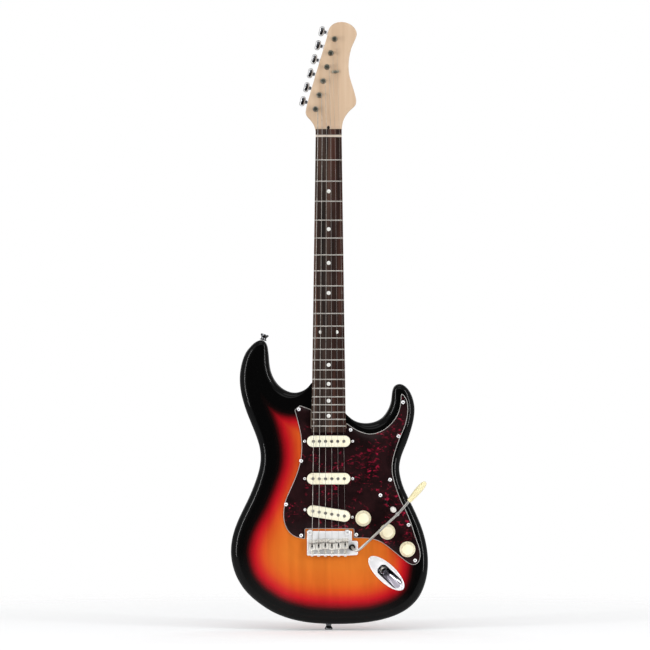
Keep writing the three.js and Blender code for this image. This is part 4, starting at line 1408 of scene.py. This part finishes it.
def saddle_shape(crest):
    """A bent-steel saddle from the side: x forwards from the string's contact, y up."""
    sole = PLATE_TOP + 0.9
    outside = [(CONTACT_SETBACK, sole), (CONTACT_SETBACK, crest - 2.6), (1.9, crest - 1.2),
               (1.1, crest - 0.3), (0, crest), (-1.4, crest - 0.3), (-2.8, crest - 1.2),
               (-4.4, crest - 1.9), (-13, crest - 2.1), (-14.1, crest - 2.5),
               (-SADDLE_LENGTH, crest - 3.4), (-SADDLE_LENGTH, sole + 0.4)]
    inside_line = [(-12.9, sole + 0.4), (-12.9, crest - 3.6), (-4, crest - 3.5),
                   (-2, crest - 2.7), (-0.2, crest - 1.9), (0.7, crest - 2.6), (0.7, sole)]
    return outside + inside_line


def build_saddle(number):
    """A saddle with its two height screws."""
    name = f"saddle_{number}"
    where = span(name)
    crest = where.high.z + 0.25
    at_contact = shift(where.centre.x, where.high.y - CONTACT_SETBACK)
    bent = placed(slab(saddle_shape(crest), -5.1, 5.1, edge=0.35, steps=2), SIDEWAYS)
    slot = slab(moved(capsule(9.6, 2.6), (0, -7.2), math.pi / 2), 20, 45)
    groove = tube([(0, -4, crest - 0.1), (0, 4, crest + 0.3)], 0.45, 10)
    grub_places = [(side, -3.4) for side in (-3.4, 3.4)]
    grub_bores = [slab(moved(circle(1.35, 16), place), PLATE_TOP, 45) for place in grub_places]
    screw_bore = placed(slab(circle(1.45, 16), -3, 3), shift(0, -13.6, SCREW_LINE) @ DOWN_THE_BODY)
    shape = placed(cut(bent, slot, groove, *grub_bores, screw_bore), at_contact)
    piece(f"{name}_sheet", shape, SADDLE_STEEL, name, [name], crease=30)

    foot = PLATE_TOP + 0.06
    grub = lathe([(0, foot), (0.9, foot), (1.3, foot + 0.45), (1.3, crest - 0.5),
                  (1.1, crest - 0.25), (0, crest - 0.25)], 20)
    grub = cut(grub, slab(circle(0.62, 6), crest - 1.8, crest + 1))
    grubs = joined(*[placed(grub, shift(*place)) for place in grub_places])
    piece(f"{name}_grub_screws", placed(grubs, at_contact), STEEL, name)


def build_intonation_screw(number):
    """The screw through the plate's lip that sets a saddle's place, with its spring."""
    name = f"saddle_{number}"
    x, back = span(name).centre.x, span(name).high.y - CONTACT_SETBACK - SADDLE_LENGTH
    head = cut(lathe([(0, 0), (2.5, 0), (2.6, 0.4), (2.45, 1.2), (1.9, 1.75), (1, 2), (0, 2.05)], 24),
               *[placed(tool, shift(0, 0, 2)) for tool in crossed(2.6, 1.2)])
    rod = tube([(0, 0, 0.2), (0, 0, -(back + 2.6 - LIP_LINE))], 1.1, 14)
    along = shift(x, LIP_LINE - 1.3, SCREW_LINE) @ DOWN_THE_BODY
    piece(f"{name}_screw", placed(joined(head, rod), along), SADDLE_STEEL, "bridge",
          crease=40)
    front = LIP_LINE + 1.25
    around = shift(x, front, SCREW_LINE) @ UP_THE_NECK
    spring = piece(f"{name}_spring", placed(coil(2.0, 0.32, back - front, 8), around), SADDLE_STEEL,
                   None)
    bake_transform(spring)


def build_stud(name):
    """A pivot stud in its sleeve."""
    where = span(name)
    top = where.high.z
    head = lathe([(0, where.low.z), (2.9, where.low.z), (3.3, where.low.z + 0.8), (3.3, top - 2.2),
                  (4.3, top - 2.0), (4.45, top - 1.5), (4.3, top - 0.7), (3.7, top - 0.1),
                  (3.1, top + 0.1), (0, top + 0.1)], 36)
    key = slab(circle(1.75, 6), top - 2.6, top + 2)
    piece(f"{name}_screw", placed(cut(head, key), standing(where.centre)), CHROME,
          stands_for=[name])
    sleeve = lathe([(3.5, FACE - 14), (5.2, FACE - 14), (5.2, FACE + 0.2), (4.9, FACE + 0.45),
                    (3.7, FACE + 0.45), (3.5, FACE + 0.2)], 32)
    piece(f"{name}_sleeve", placed(sleeve, standing(where.centre)), STEEL)


ARM_BENDS = [
    # towards the treble side, up the neck, above the plate's top
    (0, 0, -0.6), (0, 0, 4), (0.3, -0.2, 8), (1.6, -1.6, 11.5), (4.2, -3.6, 14.5),
    (8, -4.4, 16.6), (12.5, -2, 18), (20.6, 5.5, 20.2), (42, 25.6, 23.4), (60.6, 43, 25.4),
    (73.1, 54.6, 26.4), (93.1, 77.4, 26.9),
]


def build_arm():
    """The bent tremolo arm and its plastic tip."""
    base = Vector((ARM_SOCKET.x, ARM_SOCKET.y, PLATE_TOP))
    path = [Vector(p) + base for p in spline(ARM_BENDS, 6)]
    heading = (path[-1] - path[-2]).normalized()
    path.append(path[-1] + heading * 3)
    piece("arm_rod", tube(path, 2.15, 20), ARM_STEEL, "arm", ["tremolo_arm"])
    tip = lathe([(2.1, -3), (3.3, -3), (3.7, -2.5), (3.95, 0), (4.5, 6), (5.05, 12), (5.4, 18),
                 (5.45, 23), (5.15, 29), (4.4, 33.8), (3.3, 36.8), (1.8, 38.3), (0.6, 38.6),
                 (0, 38.6)], 32)
    piece("arm_tip", placed(tip, pointing(base + Vector(ARM_BENDS[-1]), heading)), TIP_CREAM, "arm")


def build_tremolo_springs():
    """Three coil springs from the claw to the block."""
    for number in range(1, 4):
        where = span(f"tremolo_spring_{number}")
        x, z = where.centre.x, where.centre.z
        low, high = where.low.y, where.high.y
        hook_low = [(0, 0, -1.5), (0, 0.4, 1.5), (0, 1.6, 3), (0, 3.1, 4.4)]
        hook_high = [(0, 3.1, 73.5), (0, 1.6, 75), (0, 0.3, 77), (0, 0, high - low + 1.2)]
        ends = joined(tube(spline(hook_low, 4), 0.5, 8), tube(spline(hook_high, 4), 0.5, 8))
        body = placed(joined(placed(coil(3.1, 0.5, 70, 44), shift(0, 0, 4)), ends),
                      shift(x, low, z) @ UP_THE_NECK)
        spring = piece(f"tremolo_spring_{number}_coil", body, STEEL, None,
                       [f"tremolo_spring_{number}"])
        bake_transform(spring)


def build_claw():
    """The springs' claw, held by two screws in the cavity's end wall."""
    claw_y, z = span("tremolo_spring_1").high.y, span("tremolo_spring_1").centre.z
    bar = placed(slab(rectangle(-25, 25, -5, 5, 1.5), -0.8, 0.8, edge=0.3),
                 shift(0, claw_y + 3, z) @ DOWN_THE_BODY)
    tongues = [placed(slab(rectangle(-1.6, 1.6, -3.4, 2.6, 0.6), -0.6, 0.6, edge=0.2),
                      shift(x, claw_y + 0.5, z + 0.6) @ spin(0.5, "X")) for x in (-16, 0, 16)]
    piece("spring_claw", joined(bar, *tongues), STEEL)
    along = [placed(lathe([(0, -3.4), (2.2, -3.4), (3.2, -2.9), (3.2, -1.9), (1.7, -1.6), (1.7, 24),
                           (0.6, 27), (0, 27)], 20),
                    shift(x, claw_y + 3, z) @ UP_THE_NECK) for x in (-8, 8)]
    piece("claw_screws", joined(*along), STEEL)


# ---------------------------------------------------------------- jack

JACK = span("jack_plate")
JACK_TURN = heading_of("jack_plate")
JACK_HALF_LENGTH = 37.5
JACK_HALF_WIDTH = 15.2
JACK_TOP = FACE + 1.9
TROUGH_END = 31
WALL_TOP = -15.5
WALL_SLOPE = 1.185
FLOOR_SLOPE = 0.485
TROUGH_HALF = 9.1
SOCKET_X = -7.2
JACK_SCREW_REACH = 33.4


def trough_height(x, y):
    """The jack plate's surface: a round trough rising to one end, met by a flat slanted wall."""
    width = TROUGH_HALF
    beyond = x - (TROUGH_END - TROUGH_HALF)
    if beyond > 0:
        width = math.sqrt(max(TROUGH_HALF ** 2 - beyond ** 2, 1e-6))
    across = min(abs(y) / width, 1)
    round_floor = (TROUGH_END - x) * FLOOR_SLOPE * (1 - across ** 2.6) ** (1 / 2.2)
    wall = (x - WALL_TOP) * WALL_SLOPE
    return JACK_TOP - max(min(round_floor, wall), 0)


def jack_rings():
    """The jack plate's cross-sections, from under its trough out to the rim and back in over it."""
    count = 120

    def oval(inset, z):
        reach = (JACK_HALF_LENGTH - inset, JACK_HALF_WIDTH - inset)
        return [(*p, z) for p in circle(1, count) * reach]

    middle = (TROUGH_END + WALL_TOP) / 2
    rim = moved(capsule(TROUGH_END - WALL_TOP + 0.6, 2 * TROUGH_HALF + 0.6, 24), (middle, 0))
    rim = evenly(rim, 1.0)
    ordered = rim[np.argsort(np.arctan2(rim[:, 1], rim[:, 0] - middle) % (2 * math.pi))]
    mouth = ordered[np.linspace(0, len(ordered), count, endpoint=False).astype(int)]
    spine = np.column_stack([np.clip(mouth[:, 0], WALL_TOP + 9, TROUGH_END - 9), np.zeros(count)])
    shares = np.sin(np.linspace(0, math.pi / 2, 22))

    def trough(share, drop):
        flat = spine + (mouth - spine) * share
        return [(x, y, trough_height(x, y) - drop) for x, y in flat]

    bottom = FACE + 0.1
    under = [trough(share, 1.0) for share in shares[:-2]]
    edge = [oval(1.2, bottom), oval(0, bottom), oval(0, bottom + 0.4), oval(0.25, bottom + 0.95),
            oval(0.75, bottom + 1.35), oval(1.6, JACK_TOP - 0.25), oval(3, JACK_TOP - 0.1)]
    lip = [[(x, y, JACK_TOP) for x, y in spine + (mouth - spine) * 1.05],
           [(x, y, JACK_TOP - 0.12) for x, y in spine + (mouth - spine) * 1.01]]
    over = [trough(share, 0) for share in shares[::-1][1:]]
    return under + edge + lip + over


def build_jack():
    """The dished jack plate, its socket and its two screws."""
    at_jack = standing(JACK.centre, JACK_TURN)
    from_jack = at_jack.inverted()
    socket_z = JACK_TOP - (SOCKET_X - WALL_TOP) * WALL_SLOPE
    at_socket = shift(SOCKET_X, 0, socket_z) @ spin(math.atan(WALL_SLOPE), "Y")

    def shading(centre, _):
        """Painted reflection: the trough's slanted wall and steep flanks get dark chrome, and its
        floor a lavender chrome that paints in the room it mirrors.
        """
        local = from_jack @ centre
        if trough_height(local.x, local.y) > JACK_TOP - 0.2 or abs(local.y) > TROUGH_HALF:
            return 0
        on_wall = (local.x - WALL_TOP) * WALL_SLOPE < (TROUGH_END - local.x) * FLOOR_SLOPE
        return 1 if on_wall or not -6.8 < local.y < 2.5 else 2

    shape = cut(loft(jack_rings()), placed(slab(circle(4.9), -6, 6), at_socket))
    piece("jack_cup", placed(shape, at_jack), [CHROME, CHROME_PAINTED_DARK_REFLECTION, CHROME_PAINTED_ROOM_REFLECTION],
          stands_for=["jack_plate"], crease=40, paint=shading)
    nut = lathe([(4.7, 0.1), (7.0, 0.1), (7.0, 1.7), (6.6, 2.1), (4.9, 2.1), (4.7, 1.9)], 6)
    washer = lathe([(4.7, -0.1), (7.6, -0.1), (7.6, 0.25), (4.7, 0.25)], 36)
    barrel = lathe([(3.3, -10), (4.7, -10), (4.7, 3.2), (4.4, 3.6), (3.5, 3.6), (3.3, 3.3)], 32)
    piece("jack_inlet", placed(placed(joined(nut, washer, barrel), at_socket), at_jack), STEEL,
          stands_for=["jack_socket"])
    ends = [(at_jack @ Vector((x, 0, 0))).xy for x in (-JACK_SCREW_REACH, JACK_SCREW_REACH)]
    screws("jack_screws", SCREW_GUARD, [(x, y, JACK_TOP - 0.3) for x, y in ends])


# ---------------------------------------------------------------- tuners

KIDNEY = [(-4.5, 0), (-4.2, 4.6), (-2.6, 7.4), (0.2, 8.3), (3.0, 7.4), (4.6, 4.6), (4.35, 1.8),
          (4.2, 0), (4.35, -1.8), (4.6, -4.6), (3.0, -7.4), (0.2, -8.3), (-2.6, -7.4), (-4.2, -4.6)]


def tuner_setting(number):
    """A tuner's placing at its post, the direction of its worm shaft, and where that shaft lies."""
    post = span(f"tuner_post_{number}")
    worm = joint(f"button_{number}_turn")
    turn = math.atan2(worm.axis.y, worm.axis.x)
    beside = (spin(-turn) @ (worm.pivot - post.centre)).y
    return SimpleNamespace(post=post, worm=worm, beside=beside,
                           at_post=standing(post.centre, turn),
                           at_worm=shift(0, beside, worm.pivot.z))


def build_tuner_case(number):
    """The housing behind the headstock and the ferrule in its face."""
    tuner = tuner_setting(number)
    low, high = (-8, 12) if tuner.beside > 0 else (-12, 8)
    case = slab(rectangle(-7.5, 9, low, high, 3), -5, HEADSTOCK_BACK - 0.05, edge=0.2, lower_edge=2.4,
                steps=6)
    worm_bore = placed(slab(circle(2.0, 20), 4, 14), tuner.at_worm @ ALONG_X)
    sleeve = placed(lathe([(2.0, 6), (3.4, 6), (3.4, 15.2), (3.1, 15.6), (2.0, 15.6)], 28),
                    tuner.at_worm @ ALONG_X)
    ferrule = lathe([(3.15, HEADSTOCK_BACK - 1), (4.6, HEADSTOCK_BACK - 1),
                     (4.6, HEADSTOCK_FACE - 0.1), (4.3, HEADSTOCK_FACE + 0.5),
                     (3.5, HEADSTOCK_FACE + 0.7), (3.15, HEADSTOCK_FACE + 0.5)], 36)
    piece(f"tuner_{number}_ferrule", placed(ferrule, tuner.at_post), FERRULE_NICKEL)
    housing = joined(cut(case, worm_bore), sleeve)
    piece(f"tuner_{number}_case", placed(housing, tuner.at_post), CHROME,
          stands_for=[f"tuner_housing_{number}"])


def build_tuner_post(number):
    """The waisted post, with its string slot and the well for the string's end."""
    tuner = tuner_setting(number)
    low, top = tuner.post.low.z, tuner.post.high.z
    shaft = lathe([(0, low), (2.95, low), (2.95, 24.6), (2.8, 25.4), (2.35, 26.8), (2.25, 28.3),
                   (2.45, 29.8), (2.9, 31.2), (2.98, 32.4), (2.95, top - 0.7), (2.6, top - 0.15),
                   (2.1, top), (0, top)], 36)
    slot = block((-4, -0.65, 31.5), (4, 0.65, top + 2))
    well = slab(circle(0.9, 16), top - 9, top + 1)
    # The post is nickel painted dark: a painted dark reflection.
    piece(f"tuner_{number}_post", placed(cut(shaft, slot, well), tuner.at_post), NICKEL_PAINTED_DARK_REFLECTION,
          f"post_{number}", [f"tuner_post_{number}"])


def build_tuner_button(number):
    """The kidney-shaped paddle on its stem."""
    tuner = tuner_setting(number)
    node = f"tuner_button_{number}"
    reach = max((Vector(p) - tuner.worm.pivot).dot(tuner.worm.axis) for p in corners_of(node))
    kidney = spline(KIDNEY + KIDNEY[:1], 5)[:-1]
    paddle = placed(slab(kidney, -3.8, 3.8, edge=3.6, steps=7),
                    tuner.at_worm @ shift(reach - 4.6, 0))
    profile = [(0, 5), (1.85, 5), (1.85, reach - 12), (2.6, reach - 11.5), (3.2, reach - 10.6),
               (2.5, reach - 9.6), (2.1, reach - 8.6), (2.4, reach - 7), (0, reach - 7)]
    stem = placed(lathe(profile, 24), tuner.at_worm @ ALONG_X)

    def shading(centre, normal):
        """Painted reflection: the stem and the paddle's middle get dark chrome, its shoulders bright
        chrome and its rim grey steel.
        """
        along = (centre - tuner.post.centre).dot(tuner.worm.axis)
        if along < reach - 9 or abs(normal.z) > 0.88:
            return 1
        return 0 if abs(normal.z) > 0.6 else 2

    piece(f"tuner_{number}_button", placed(joined(paddle, stem), tuner.at_post),
          [CHROME, CHROME_PAINTED_DARK_REFLECTION, STEEL], f"button_{number}", [node], paint=shading)


def build_headstock_fittings():
    """The tuners' screws, and the string tree with its own."""
    backs = [tuner_setting(number).at_post @ Vector((-4.8, side, -5))
             for number in STRINGS for side in (-5.6, 5.6)]
    # The tuner and string tree screws are nickel painted dark: a painted dark reflection.
    screws("tuner_screws", SCREW_SMALL, backs, facing=FACE_DOWN, finish=NICKEL_PAINTED_DARK_REFLECTION)
    at_tree = standing(STRING_TREE, 0.06)
    clip = slab(capsule(10.6, 4.2), 24.55, 25.4, edge=0.3)
    stem = lathe([(0, HEADSTOCK_FACE - 6), (2.4, HEADSTOCK_FACE - 6), (2.4, 24.6), (0, 24.6)], 24)
    wings = [placed(slab(rectangle(-1.1, 1.1, -2.4, 2.4, 0.6), -0.45, 0.45, edge=0.25),
                    shift(side * 5.1, 0, 24.6) @ spin(side * 0.7, "Y")) for side in (-1, 1)]
    piece("string_tree", placed(joined(clip, stem, *wings), at_tree), FERRULE_NICKEL)
    screws("tree_screw", SCREW_SMALL, [(STRING_TREE.x, STRING_TREE.y, 25.35)],
           finish=NICKEL_PAINTED_DARK_REFLECTION)


# ---------------------------------------------------------------- back and straps

HORN_TILT = 0.3


def build_neck_plate():
    """The plate behind the neck joint, with its four bolts in countersunk holes."""
    where = span("neck_plate")
    low, high = where.low, where.high
    outline = rectangle(low.x, high.x, low.y, high.y, 4.5)
    bolts = [(x, y) for x in (low.x + 7, high.x - 7) for y in (low.y + 8, high.y - 8)]
    plate = slab(outline, low.z, BACK - 0.05, edge=0.1, lower_edge=0.7)
    bores = [placed(lathe([(2.4, 4), (2.4, 0), (4.4, -2)], 28), shift(x, y, low.z + 1.6))
             for x, y in bolts]
    piece("neck_joint_plate", cut(plate, *bores), CHROME, stands_for=["neck_plate"])
    screws("neck_plate_screws", SCREW_LARGE, [(x, y, low.z + 0.1) for x, y in bolts],
           facing=FACE_DOWN)


def build_back_cover():
    """The cover over the springs, with a slot behind the block and six screws."""
    where = span("back_cover")
    low, high = where.low, where.high
    outline = rectangle(low.x, high.x, low.y, high.y, 12, 10)
    slot = moved(capsule(66, 12), (0, BRIDGE.high.y - 16.3))
    levels = [(0.8, low.z), (0.35, low.z + 0.12), (0.08, low.z + 0.4), (0, low.z + 0.8),
              (0, BACK - 0.05)]
    piece("spring_cover", sheet(outline, levels, [slot]), BLACK_PLASTIC,
          stands_for=["back_cover"])
    middle = (low.y + high.y) / 2
    spots = [(x, y, low.z + 0.1) for x in (low.x + 5.5, high.x - 5.5)
             for y in (low.y + 7, middle, high.y - 7)]
    screws("spring_cover_screws", SCREW_GUARD, spots, facing=FACE_DOWN)


def build_strap_button(name, inwards):
    """A turned strap button with its felt washer and screw."""
    points = corners_of(name)
    depth = points @ inwards
    outer = Vector(points[depth < depth.min() + 0.1].mean(0))
    stand_at = pointing(outer, inwards)
    turned = lathe([(0, 1.4), (2.3, 1.4), (3.7, 0.3), (4.4, 0), (5.8, 0), (6.4, 0.3), (6.7, 1),
                    (6.7, 1.9), (6.4, 2.7), (5.6, 3.7), (4.8, 4.8), (4.3, 5.9), (4.2, 7), (4.5, 8),
                    (4.9, 8.5), (4.9, 9.0), (0, 9.0)], 44)
    # The turned chrome button is painted dark: a painted dark reflection.
    piece(f"{name}_turned", placed(turned, stand_at), CHROME_PAINTED_DARK_REFLECTION,
          stands_for=[name])
    washer = lathe([(2, 8.9), (5.4, 8.9), (5.7, 9.2), (5.7, 9.9), (5.4, 10.2), (2, 10.2)], 36)
    piece(f"{name}_felt", placed(washer, stand_at), FELT)
    head = placed(SCREW_GUARD, stand_at @ shift(0, 0, 1.3) @ FACE_DOWN)
    piece(f"{name}_head", head, STEEL)


def dress(node, bevel):
    """Cast metal and eased edges on the CAD's own mesh."""
    obj = bpy.data.objects[node]
    obj.data.materials.clear()
    obj.data.materials.append(CAST_METAL)
    ease = obj.modifiers.new("eased", "BEVEL")
    ease.width = bevel * MM
    ease.segments = 2
    ease.limit_method = "ANGLE"


build_bridge()
build_bridge_fittings()
for number in STRINGS:
    build_saddle(number)
    build_intonation_screw(number)
    build_tuner_case(number)
    build_tuner_post(number)
    build_tuner_button(number)
for stud in STUDS:
    build_stud(stud)
build_arm()
build_tremolo_springs()
build_claw()
build_jack()
build_headstock_fittings()
build_neck_plate()
build_back_cover()
build_strap_button("strap_button_end", Vector((0, 1, 0)))
build_strap_button("strap_button_horn", Vector((-math.sin(HORN_TILT), -math.cos(HORN_TILT), 0)))
dress("trem_block", 0.8)
for node in ("switch_body", "pot_volume", "pot_tone_neck", "pot_tone_middle"):
    dress(node, 0.3)


# ---------------------------------------------------------------- camera, floor and light


def aim(obj, target):
    obj.rotation_mode = "QUATERNION"
    obj.rotation_quaternion = (Vector(target) - obj.location).to_track_quat("-Z", "Y")


def camera():
    """Straight on to the face through a long lens, level with the middle of the picture."""
    data = bpy.data.cameras.new("camera")
    data.lens = 300
    seen_width = 1.0504
    obj = linked("camera", data)
    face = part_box("body")[0].y
    middle = (-0.0059, NUT * MM - 0.3028)
    obj.location = (middle[0], face - seen_width * data.lens / data.sensor_width, middle[1])
    aim(obj, (middle[0], 0, middle[1]))
    data.clip_end = 100
    bpy.context.scene.camera = obj


def area_light(name, place, size, power):
    """A white soft box facing the middle of the guitar."""
    data = bpy.data.lights.new(name, "AREA")
    data.shape = "RECTANGLE"
    data.size, data.size_y = size
    data.energy = power
    obj = linked(name, data)
    obj.location = place
    aim(obj, (0, 0, 0.5))


def studio():
    """A white background and soft boxes on all sides."""
    world = bpy.data.worlds.new("studio")
    bpy.context.scene.world = world
    world.use_nodes = True
    tree = world.node_tree
    # The room is dark straight ahead of the guitar's face, so that its flat gloss stays black.
    heading = add_node(tree, "TexCoord").outputs["Generated"]
    depth = add_node(tree, "SeparateXYZ", {0: heading}).outputs["Y"]
    lit = add_node(tree, "MapRange", {"Value": depth, "From Min": -0.93, "From Max": -0.8,
                                      "To Min": 0.03, "To Max": 0.5})
    room = tree.nodes["Background"]
    feed(tree, room, {"Color": (0.97, 0.98, 1, 1), "Strength": lit.outputs["Result"]})
    white = add_node(tree, "Background", {"Color": (1, 1, 1, 1)})
    seen = add_node(tree, "LightPath").outputs["Is Camera Ray"]
    blend = add_node(tree, "MixShader", {0: seen, 1: room.outputs[0], 2: white.outputs[0]})
    feed(tree, tree.nodes["World Output"], {"Surface": blend.outputs[0]})

    area_light("left_box", (-1.9, -1.3, 0.9), (0.9, 1.9), 4)
    area_light("right_box", (1.9, -1.3, 0.9), (0.9, 1.9), 4)
    area_light("left_strip", (-2.0, -1.7, 0.7), (0.11, 1.9), 28)
    area_light("right_strip", (2.0, -1.7, 0.7), (0.11, 1.9), 28)
    area_light("top_box", (0, -1.1, 2.5), (1.8, 0.9), 9)
    area_light("front_fill", (0, -3.6, 1.9), (2.2, 1.2), 13)
    area_light("back_left", (-1.4, 2.2, 1.3), (1.0, 1.6), 8)
    area_light("back_right", (1.4, 2.2, 1.3), (1.0, 1.6), 8)


def floor():
    """A pale matt disc whose rim fades into the background."""
    radius = 1.4
    rings = [[(*(p * share), -0.0005) for p in circle(radius, 96)]
             for share in (1, 0.66, 0.33, 0.001)]
    points, faces = loft(rings, caps=False)
    mesh = bpy.data.meshes.new("floor")
    mesh.from_pydata(points, [], faces)
    made = Finish("floor_paint", Base_Color=srgb(252, 252, 252), Roughness=0.9,
                  Specular_IOR_Level=0.1, Emission_Color=(1, 1, 1, 1), Emission_Strength=0.12)
    apart = made.node("VectorMath", {0: made.place}, operation="LENGTH").outputs["Value"]
    made.set(Alpha=made.fit(apart, 1, 0, 0.2, radius * 0.9))
    made.bump(made.noise(90), 0.0001)
    mesh.materials.append(made.material)
    linked("floor", mesh)


camera()
studio()
floor()
bpy.context.scene.view_settings.view_transform = "Standard"
